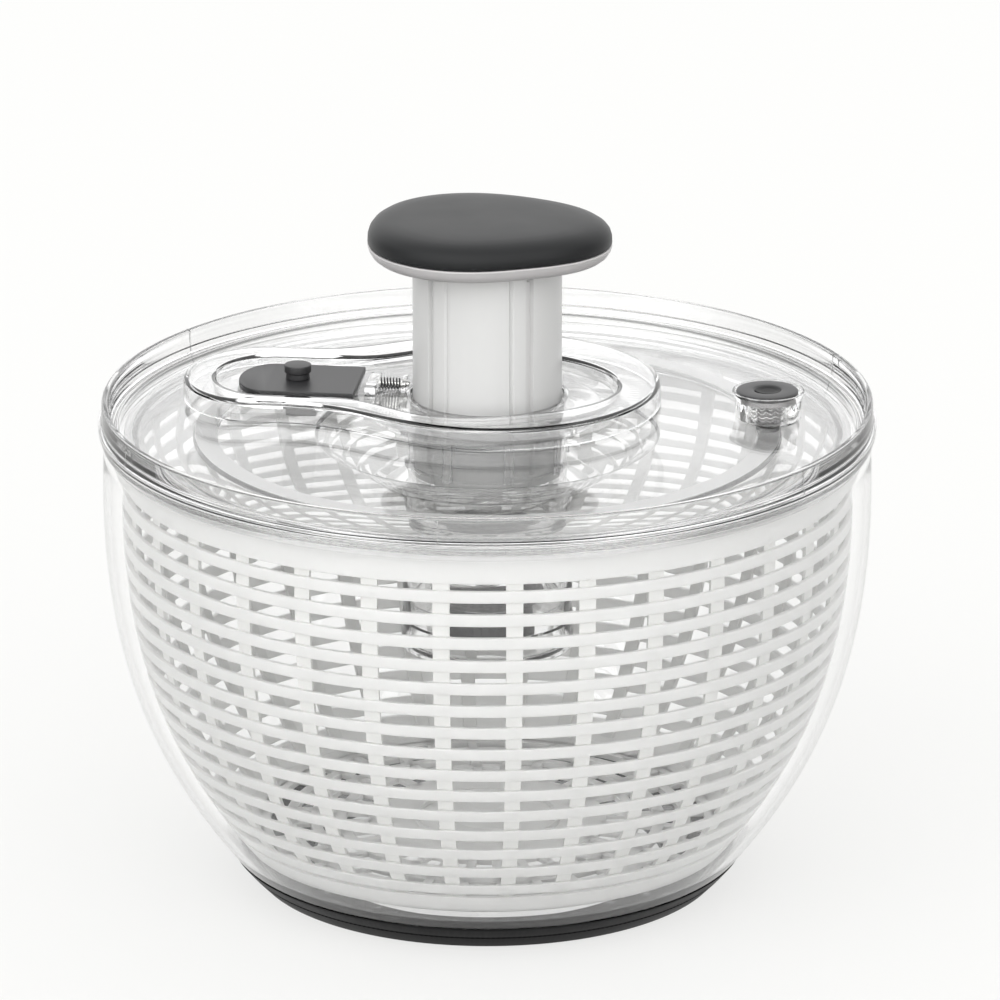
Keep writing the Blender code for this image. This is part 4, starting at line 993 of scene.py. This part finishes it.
class SPINNER_OT_drive(bpy.types.Operator):
    """Clear turning disc: rim, frosted brake track, stepped dish and the central well"""
    bl_idname = "spinner.drive"
    bl_label = "Drive disc"

    def execute(self, context):
        pump = context.scene.spinner_pump
        rim_r = basket_radius(high("basket").z)
        rim_top = high("drive_disc").z
        under = 0.1575
        top = under + 1.8 * MM
        track_in = pump.track - pump.track_width / 2
        track_out = pump.track + pump.track_width / 2
        well_in = pump.well - 2.2 * MM
        well_low = low("drive_disc").z
        floor = well_low + 2.5 * MM
        mouth = 0.1380
        dish_r, dish_z = pump.well + 10.5 * MM, mouth + 3.5 * MM
        lip = rim_r - 3.0 * MM
        steps = self.dish(pump.dish, top, dish_r, dish_z)
        upper = [(0.0, floor, 0), (well_in, floor, 2 * MM), (well_in, mouth, 1.5 * MM),
                 (dish_r - 4 * MM, dish_z - 0.6 * MM, 2 * MM)] + list(reversed(steps))
        upper += [(track_in, top, 0.3 * MM), (track_in, rim_top - 0.2 * MM, 0.4 * MM),
                  (track_out, rim_top - 0.2 * MM, 0.4 * MM), (track_out, top, 0.3 * MM),
                  (lip - 2 * MM, top, 0.3 * MM), (lip, rim_top, 0.3 * MM), (rim_r, rim_top, 0.3 * MM),
                  (rim_r, high("basket").z + 0.3 * MM, 0.3 * MM), (lip, high("basket").z + 0.3 * MM, 0),
                  (lip, under - 3 * MM, 0.4 * MM), (lip - 1.8 * MM, under - 3 * MM, 0.4 * MM),
                  (lip - 1.8 * MM, under, 0.5 * MM), (track_in, under, 0.5 * MM)]
        lower = [(r - 0.5 * MM, z - 1.8 * MM, 0) for r, z, _ in steps]
        lower += [(pump.well, mouth - 2.4 * MM, 3 * MM), (pump.well, 0.1150, 0.2 * MM),
                  (pump.well - 0.5 * MM, 0.1143, 0.2 * MM), (pump.well - 0.5 * MM, 0.0950, 0.2 * MM),
                  (pump.well, 0.0943, 0.2 * MM), (pump.well, well_low, 1.5 * MM), (0.0, well_low, 0)]
        disc = turned("clear_disc", rounded(upper + lower, 4), 192)
        finish(disc, "drive", clear_plastic(), ["drive_disc"])
        face = turned("brake_track", rounded([
            (track_in + 0.4 * MM, rim_top - 0.1 * MM, 0), (track_out - 0.4 * MM, rim_top - 0.1 * MM, 0),
            (track_out - 0.4 * MM, rim_top - 0.19 * MM, 0),
            (track_in + 0.4 * MM, rim_top - 0.19 * MM, 0)], 2), 192)
        finish(face, "drive", frosted_plastic(), ["drive_disc"])
        return {'FINISHED'}

    def dish(self, r_out, z_out, r_in, z_in):
        """From the track down to the well in shallow moulded terraces."""
        corners = []
        terraces = 4
        for i in range(terraces + 1):
            share = i / terraces
            r = r_out + (r_in - r_out) * share
            z = z_out + (z_in - z_out) * share ** 1.25
            corners.append((r, z, 0.8 * MM))
            if 0 < i < terraces:
                corners.append((r - 1.2 * MM, z - 0.9 * MM, 0.5 * MM))
        return corners


# From so many degrees off the middle of the column's front or back: depth in grooves.
FLUTE = ((44.2, 0.0), (40.4, 2.2), (27.0, 0.45), (25.2, 1.0))


class SPINNER_OT_column(bpy.types.Operator):
    """White plunger column with four grooves, a stop lip and its closed top"""
    bl_idname = "spinner.column"
    bl_label = "Column"

    def execute(self, context):
        pump = context.scene.spinner_pump
        bottom, top = low("plunger_column").z, high("plunger_column").z
        angles = even_angles(240)
        bore, lip, screw = 0.0243, 0.0265, 0.0016
        plain_low = ((bore, 0.2000), (bore, bottom + 0.3 * MM), (0.0246, bottom), (0.0262, bottom),
                     (lip, bottom + 0.3 * MM), (lip, bottom + 2.0 * MM),
                     (pump.column, bottom + 2.6 * MM), (pump.column, bottom + 4.0 * MM))
        grooved = ((pump.column, bottom + 4.1 * MM), (pump.column, top - 0.6 * MM),
                   (pump.column - 0.4 * MM, top))
        plain_top = ((0.0100, top), (screw, top), (screw, top - 3.2 * MM), (bore, top - 3.2 * MM))
        rings = [circle_ring(r, z, angles) for r, z in plain_low]
        rings += [self.fluted_ring(r, z, angles) for r, z in grooved]
        rings += [circle_ring(r, z, angles) for r, z in plain_top]
        shell = outward(loft("white_column", rings + [rings[0]], caps=False))
        tube = turned("nut_tube", [(0.0065, 0.2216), (0.0085, 0.2216), (0.0085, 0.1683),
                                   (0.0065, 0.1683)], 64)
        keyway = block("keyway", (4.6 * MM, 3.6 * MM, top - bottom),
                       (-0.0252, 0.0, (top + bottom) / 2 - 0.7 * MM))
        modified(shell, 'BOOLEAN', object=keyway, operation='DIFFERENCE')
        bpy.data.objects.remove(keyway)
        soften(shell, 30.0)
        piece = joined("white_column", [shell, tube])
        finish(piece, "plunger", column_plastic(), ["plunger_column"])
        return {'FINISHED'}

    def fluted_ring(self, radius, z, angles):
        """Each flute is a shallow flat, with a deeper line along both of its edges."""
        groove = bpy.context.scene.spinner_pump.groove
        ring = []
        for angle in angles:
            off = math.degrees(abs(abs(angle - math.pi) - math.pi / 2))
            share = next((depth for start, depth in FLUTE if off > start), 0.0)
            r = radius - share * groove
            ring.append((r * math.cos(angle), r * math.sin(angle), z))
        return ring


class SPINNER_OT_knob(bpy.types.Operator):
    """Palm knob: light grey under-plate and a soft-touch charcoal cap"""
    bl_idname = "spinner.knob"
    bl_label = "Knob"

    def execute(self, context):
        base_low, base_high = low("knob_base").z, high("knob_base").z
        cap_low, cap_high = low("knob_cap").z, high("knob_cap").z
        plate = self.stack("grey_under_plate", (
            (-0.0370, base_low), (-0.0120, base_low), (-0.0042, base_low + 0.1 * MM),
            (-0.0026, base_low + 0.5 * MM), (-0.0013, base_low + 1.6 * MM),
            (-0.0004, base_low + 3.2 * MM), (0.0, base_low + 4.6 * MM), (-0.0003, base_high),
            (-0.0012, base_high), (-0.0370, base_high)))
        finish(plate, "plunger", pale_plastic(), ["knob_base"])
        tall = cap_high - cap_low
        cap = self.stack("soft_cap", (
            (-0.0370, cap_low), (-0.0010, cap_low), (-0.0002, cap_low + 0.1 * MM),
            (0.0, cap_low + 0.5 * MM), (-0.0001, cap_low + 0.32 * tall),
            (-0.0006, cap_low + 0.52 * tall), (-0.0016, cap_low + 0.68 * tall),
            (-0.0034, cap_low + 0.82 * tall), (-0.0062, cap_low + 0.915 * tall),
            (-0.0105, cap_low + 0.965 * tall), (-0.0170, cap_low + 0.99 * tall),
            (-0.0250, cap_low + 0.998 * tall), (-0.0370, cap_high)))
        finish(cap, "plunger", soft_touch(), ["knob_cap"])
        return {'FINISHED'}

    def stack(self, name, levels):
        """Knob outlines stacked up, each grown by a distance; far inside they turn round."""
        angles = even_angles(180)
        rings = []
        for grow, z in levels:
            share = min(1.0, -grow / 0.037)
            ring = []
            for angle in angles:
                r = knob_radius(angle, grow)
                r = (1 - share) * r + share * max(0.0015, 0.0390 + grow)
                ring.append((r * math.cos(angle), r * math.sin(angle), z))
            rings.append(ring)
        return loft(name, rings, smooth=40.0)


class SPINNER_OT_brake(bpy.types.Operator):
    """Brake: soft egg-shaped button with a dimple, grey stem, pad and spring"""
    bl_idname = "spinner.brake"
    bl_label = "Brake"

    def execute(self, context):
        pump = context.scene.spinner_pump
        place = (pump.track, 0.0, 0.0)
        top = high("brake_cap").z
        under = top - 1.5 * MM
        levels = ((-0.0100, under), (-0.0005, under), (0.0, under + 0.3 * MM),
                  (0.0, top - 0.5 * MM), (-0.0003, top - 0.15 * MM), (-0.0009, top),
                  (-0.0052, top), (-0.0058, top - 0.1 * MM), (-0.0064, top - 0.6 * MM),
                  (-0.0105, top - 0.6 * MM))
        rings = []
        for grow, z in levels:
            rings.append([self.egg(angle, grow, z) for angle in even_angles(96)])
        cap = moved(loft("brake_button", rings, smooth=40.0), place)
        finish(cap, "brake", charcoal_plastic(), ["brake_cap"])
        pad = turned("button_dimple", rounded([
            (0.0, top - 0.5 * MM, 0), (0.0026, top - 0.42 * MM, MM), (0.0046, top - 0.08 * MM, 0.3 * MM),
            (0.0049, top - 0.6 * MM, 0), (0.0, top - 0.6 * MM, 0)], 4), 72)
        finish(moved(pad, place), "brake", black_rubber(), ["brake_cap"])
        stem_top, stem_low = high("brake_stem").z, low("brake_stem").z
        stem = turned("brake_post", rounded([
            (0.0, under, 0), (0.0092, under, 0.2 * MM), (0.0092, stem_top - MM, 0.2 * MM),
            (0.0040, stem_top - MM, 0.5 * MM), (0.0040, stem_low, 0.3 * MM), (0.0, stem_low, 0)], 3), 64)
        finish(moved(stem, place), "brake", pale_plastic(), ["brake_stem"])
        pad_top, pad_low = high("brake_pad").z, low("brake_pad").z
        pad = turned("friction_pad", rounded([
            (0.0, pad_top, 0), (0.0040, pad_top, 0.2 * MM), (0.0038, pad_low, 0.4 * MM),
            (0.0, pad_low, 0)], 3), 64)
        finish(moved(pad, place), "brake", pad_silicone(), ["brake_pad"])
        coil_low = lid_height(pump.track) + 0.5 * MM
        coil_length = stem_top - 1.4 * MM - coil_low
        coil = spring("button_spring", (pump.track, 0.0, coil_low), AXIS_Z,
                      coil_length, 0.0062, 0.3 * MM, 3)
        finish(coil, "lid", stainless_steel(), ["brake_spring"])
        compress(coil)
        return {'FINISHED'}

    def egg(self, angle, grow, z):
        """Rounded end towards the plunger, narrower end outwards."""
        r = 0.0112 + grow - 0.0004 * (1 + math.cos(angle))
        return (r * math.cos(angle), r * math.sin(angle), z)


class SPINNER_OT_lock(bpy.types.Operator):
    """Plunger lock: charcoal slider with a finger knob, clear bolt and its spring"""
    bl_idname = "spinner.lock"
    bl_label = "Lock"

    def execute(self, context):
        self.slider()
        self.finger_knob()
        self.bolt()
        return {'FINISHED'}

    def slider(self):
        bottom = low("lock_slider").z
        top = high("lock_slider").z
        base = top - 2.3 * MM
        back, front = low("lock_slider").x, high("lock_slider").x - 2.6 * MM
        half = high("lock_slider").y
        end = 11.0 * MM
        outline = [(front, -half), (front, half)]
        for i in range(25):
            angle = math.pi / 2 + math.pi * i / 24
            outline.append((back + end + end * math.cos(angle), half * math.sin(angle)))
        middle = (back + front) / 2
        rings = []
        for inset, z in ((0.3 * MM, base), (0.0, base + 0.3 * MM), (0.0, top - 0.4 * MM),
                         (0.1 * MM, top - 0.12 * MM), (0.4 * MM, top)):
            shrink_x = 1.0 - inset / (front - middle)
            shrink_y = 1.0 - inset / half
            rings.append([(middle + (x - middle) * shrink_x, y * shrink_y, z) for x, y in outline])
        plate = loft("charcoal_slider", rings, smooth=20.0)
        tab = block("tab", (11 * MM, 9 * MM, base - bottom + 0.5 * MM),
                    (-0.0645, 0.0, (base + bottom) / 2 + 0.25 * MM), 0.4 * MM)
        finish(plate, "lock", charcoal_plastic(), ["lock_slider"])
        finish(tab, "lock", pale_plastic(), ["lock_slider"])

    def finger_knob(self):
        centre = ((low("lock_knob").x + high("lock_knob").x) / 2, 0.0, 0.0)
        top = high("lock_knob").z
        base = high("lock_slider").z
        knob = turned("finger_knob", rounded([
            (0.0, top, 0), (0.0047, top, 0.4 * MM), (0.0047, top - 2.6 * MM, 0.4 * MM),
            (0.0040, top - 2.9 * MM, 0.2 * MM), (0.0042, base + 0.05 * MM, 0.3 * MM),
            (0.0, base + 0.05 * MM, 0)], 4), 72)
        finish(moved(knob, centre), "lock", charcoal_plastic(), ["lock_knob"])

    def bolt(self):
        start = low("lock_bolt").x
        bottom = low("lock_bolt").z
        nose = block("bolt_block", (4 * MM, 18 * MM, 2.7 * MM),
                     (start + 2 * MM, 0.0, bottom + 1.35 * MM), 0.4 * MM)
        finish(nose, "lock", clear_plastic(), ["lock_bolt"])
        rod_z = bottom + 1.7 * MM
        tip = high("lock_bolt").x
        rod = turned("bolt_rod", rounded([(0.0, tip, 0), (0.0010, tip, 0.3 * MM),
                                          (0.0010, start + 3 * MM, 0.2 * MM),
                                          (0.0, start + 3 * MM, 0)], 3), 32)
        rod.data.transform(Matrix.Translation((0.0, 0.0, rod_z)) @ Matrix.Rotation(math.pi / 2, 4, 'Y'))
        finish(rod, "lock", stainless_steel(), ["lock_bolt"])
        coil_low = low("lock_spring").x
        coil_high = high("lock_spring").x
        coil = spring("bolt_spring", (coil_low, 0.0, rod_z), (1.0, 0.0, 0.0),
                      coil_high - coil_low, 0.0018, 0.25 * MM, 7)
        finish(coil, "lid", charcoal_plastic(), ["lock_spring"])
        compress(coil)


class SPINNER_OT_inside(bpy.types.Operator):
    """Return spring, and finishes for the pump's inner parts"""
    bl_idname = "spinner.inside"
    bl_label = "Inner parts"

    def execute(self, context):
        bottom, top = low("return_spring").z, high("return_spring").z
        coil = spring("pump_spring", (0.0, 0.0, bottom + 0.8 * MM), AXIS_Z,
                      top - bottom - 1.6 * MM, 0.0222, 0.7 * MM, 9)
        finish(coil, "lid", stainless_steel(), ["return_spring"])
        compress(coil)
        looks = {
            "steel": ("spiral_shaft", "shaft_clip", "knob_screw", "housing_screw_1",
                      "housing_screw_2", "housing_screw_3", "drum_screw_1", "drum_screw_2",
                      "drum_screw_3"),
            "charcoal": ("clutch_drum", "clutch_cover"),
            "pale": ("clutch_rotor", "drive_nut"),
        }
        makers = {"steel": stainless_steel, "charcoal": charcoal_plastic, "pale": pale_plastic}
        for look, nodes in looks.items():
            for node in nodes:
                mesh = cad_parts[node].data
                mesh.materials.clear()
                mesh.materials.append(makers[look]())
        return {'FINISHED'}


class SPINNER_OT_stage(bpy.types.Operator):
    """Pale floor, white light tent and the camera"""
    bl_idname = "spinner.stage"
    bl_label = "Stage"

    def execute(self, context):
        self.floor()
        self.tent()
        self.lights()
        self.camera()
        return {'FINISHED'}

    def floor(self):
        deselect()
        bpy.ops.mesh.primitive_plane_add(size=12.0, location=(0.0, 0.0, -0.0002))
        floor = bpy.context.object
        floor.name = "floor"
        mat, tree, shader = start_material("matt white paper sweep")
        set_shader(shader, bpy.context.scene.spinner_stage.floor, Roughness=0.9,
                   Emission_Color=(1.0, 1.0, 0.99, 1.0), Emission_Strength=0.73,
                   Specular_IOR_Level=0.0)
        floor.data.materials.append(mat)

    def tent(self):
        """White all round, with two dark upright cards that draw the clear plastic's edges."""
        stage = bpy.context.scene.spinner_stage
        world = bpy.data.worlds.new("light tent")
        bpy.context.scene.world = world
        world.use_nodes = True
        tree = world.node_tree
        back = tree.nodes["Background"]
        back.inputs["Color"].default_value = (1.0, 1.0, 1.0, 1.0)
        place = add(tree, "ShaderNodeTexCoord")
        split = add(tree, "ShaderNodeSeparateXYZ", None, {"Vector": place.outputs["Generated"]})
        side = add(tree, "ShaderNodeMath", {"operation": 'ABSOLUTE'}, {0: split.outputs["X"]})
        card = add(tree, "ShaderNodeMapRange", {"interpolation_type": 'SMOOTHSTEP'},
                   {"Value": side.outputs[0], "From Min": 0.86, "From Max": 0.95,
                    "To Min": 1.0, "To Max": 0.0})
        tall = add(tree, "ShaderNodeMapRange", {"interpolation_type": 'SMOOTHSTEP'},
                   {"Value": split.outputs["Z"], "From Min": 0.30, "From Max": 0.50,
                    "To Min": 0.0, "To Max": 1.0})
        light = add(tree, "ShaderNodeMath", {"operation": 'MAXIMUM'},
                    {0: card.outputs["Result"], 1: tall.outputs["Result"]})
        level = add(tree, "ShaderNodeMapRange", None,
                    {"Value": light.outputs[0], "To Min": 0.05, "To Max": stage.sky})
        near = add(tree, "ShaderNodeMapRange", {"interpolation_type": 'SMOOTHSTEP'},
                   {"Value": split.outputs["Y"], "From Min": -0.75, "From Max": -0.15,
                    "To Min": stage.front, "To Max": 0.0})
        both = add(tree, "ShaderNodeMath", {"operation": 'ADD'},
                   {0: level.outputs["Result"], 1: near.outputs["Result"]})
        tree.links.new(both.outputs[0], back.inputs["Strength"])

    def lights(self):
        for name, place, size, power in (("key_softbox", (-0.9, -0.9, 1.6), 1.2, 3.0),
                                         ("top_softbox", (0.3, 0.5, 1.9), 1.4, 3.0)):
            lamp = bpy.data.lights.new(name, 'AREA')
            lamp.size = size
            lamp.energy = power
            obj = bpy.data.objects.new(name, lamp)
            bpy.context.collection.objects.link(obj)
            obj.location = place
            aim = Vector((0.0, 0.0, 0.12)) - Vector(place)
            obj.rotation_euler = aim.to_track_quat('-Z', 'Y').to_euler()

    def camera(self):
        stage = bpy.context.scene.spinner_stage
        turn = Matrix.Rotation(stage.azimuth, 3, 'Z')
        aim = turn @ Vector((stage.aim_right, 0.0, 0.0)) + Vector((0.0, 0.0, stage.aim_height))
        back = turn @ Vector((0.0, -math.cos(stage.elevation), math.sin(stage.elevation)))
        data = bpy.data.cameras.new("camera")
        data.lens = stage.lens
        data.sensor_width = 36.0
        data.clip_end = 50.0
        camera = bpy.data.objects.new("camera", data)
        bpy.context.collection.objects.link(camera)
        camera.location = aim + back * stage.distance
        camera.rotation_euler = (-back).to_track_quat('-Z', 'Y').to_euler()
        bpy.context.scene.camera = camera
        cycles = bpy.context.scene.cycles
        cycles.max_bounces = 20
        cycles.transmission_bounces = 20
        cycles.diffuse_bounces = 7
        view = bpy.context.scene.view_settings
        view.view_transform = 'Standard'
        view.look = 'None'


# ---- Panel and running -----------------------------------------------------------------
PIECES = (SPINNER_OT_bowl, SPINNER_OT_basket, SPINNER_OT_lid, SPINNER_OT_cover,
          SPINNER_OT_housing, SPINNER_OT_drive, SPINNER_OT_column, SPINNER_OT_knob,
          SPINNER_OT_brake, SPINNER_OT_lock, SPINNER_OT_inside, SPINNER_OT_stage)


class SPINNER_PT_panel(bpy.types.Panel):
    """Lists the pieces and their settings"""
    bl_idname = "SPINNER_PT_panel"
    bl_label = "Salad Spinner"
    bl_space_type = 'VIEW_3D'
    bl_region_type = 'UI'
    bl_category = "Spinner"

    def draw(self, context):
        for group in SETTINGS:
            box = self.layout.box()
            settings = getattr(context.scene, group)
            box.label(text=group.split("_")[1].title())
            for key in settings.__annotations__:
                box.prop(settings, key)
        for piece in PIECES:
            self.layout.operator(piece.bl_idname)


def register():
    for group in SETTINGS.values():
        bpy.utils.register_class(group)
    for key, group in SETTINGS.items():
        setattr(bpy.types.Scene, key, bpy.props.PointerProperty(type=group))
    for piece in PIECES:
        bpy.utils.register_class(piece)
    bpy.utils.register_class(SPINNER_PT_panel)


def unregister():
    bpy.utils.unregister_class(SPINNER_PT_panel)
    for piece in reversed(PIECES):
        bpy.utils.unregister_class(piece)
    for key in SETTINGS:
        delattr(bpy.types.Scene, key)
    for group in reversed(SETTINGS.values()):
        bpy.utils.unregister_class(group)


def main():
    register()
    for piece in PIECES:
        getattr(bpy.ops.spinner, piece.bl_idname.split(".")[1])()


if __name__ == "__main__":
    main()
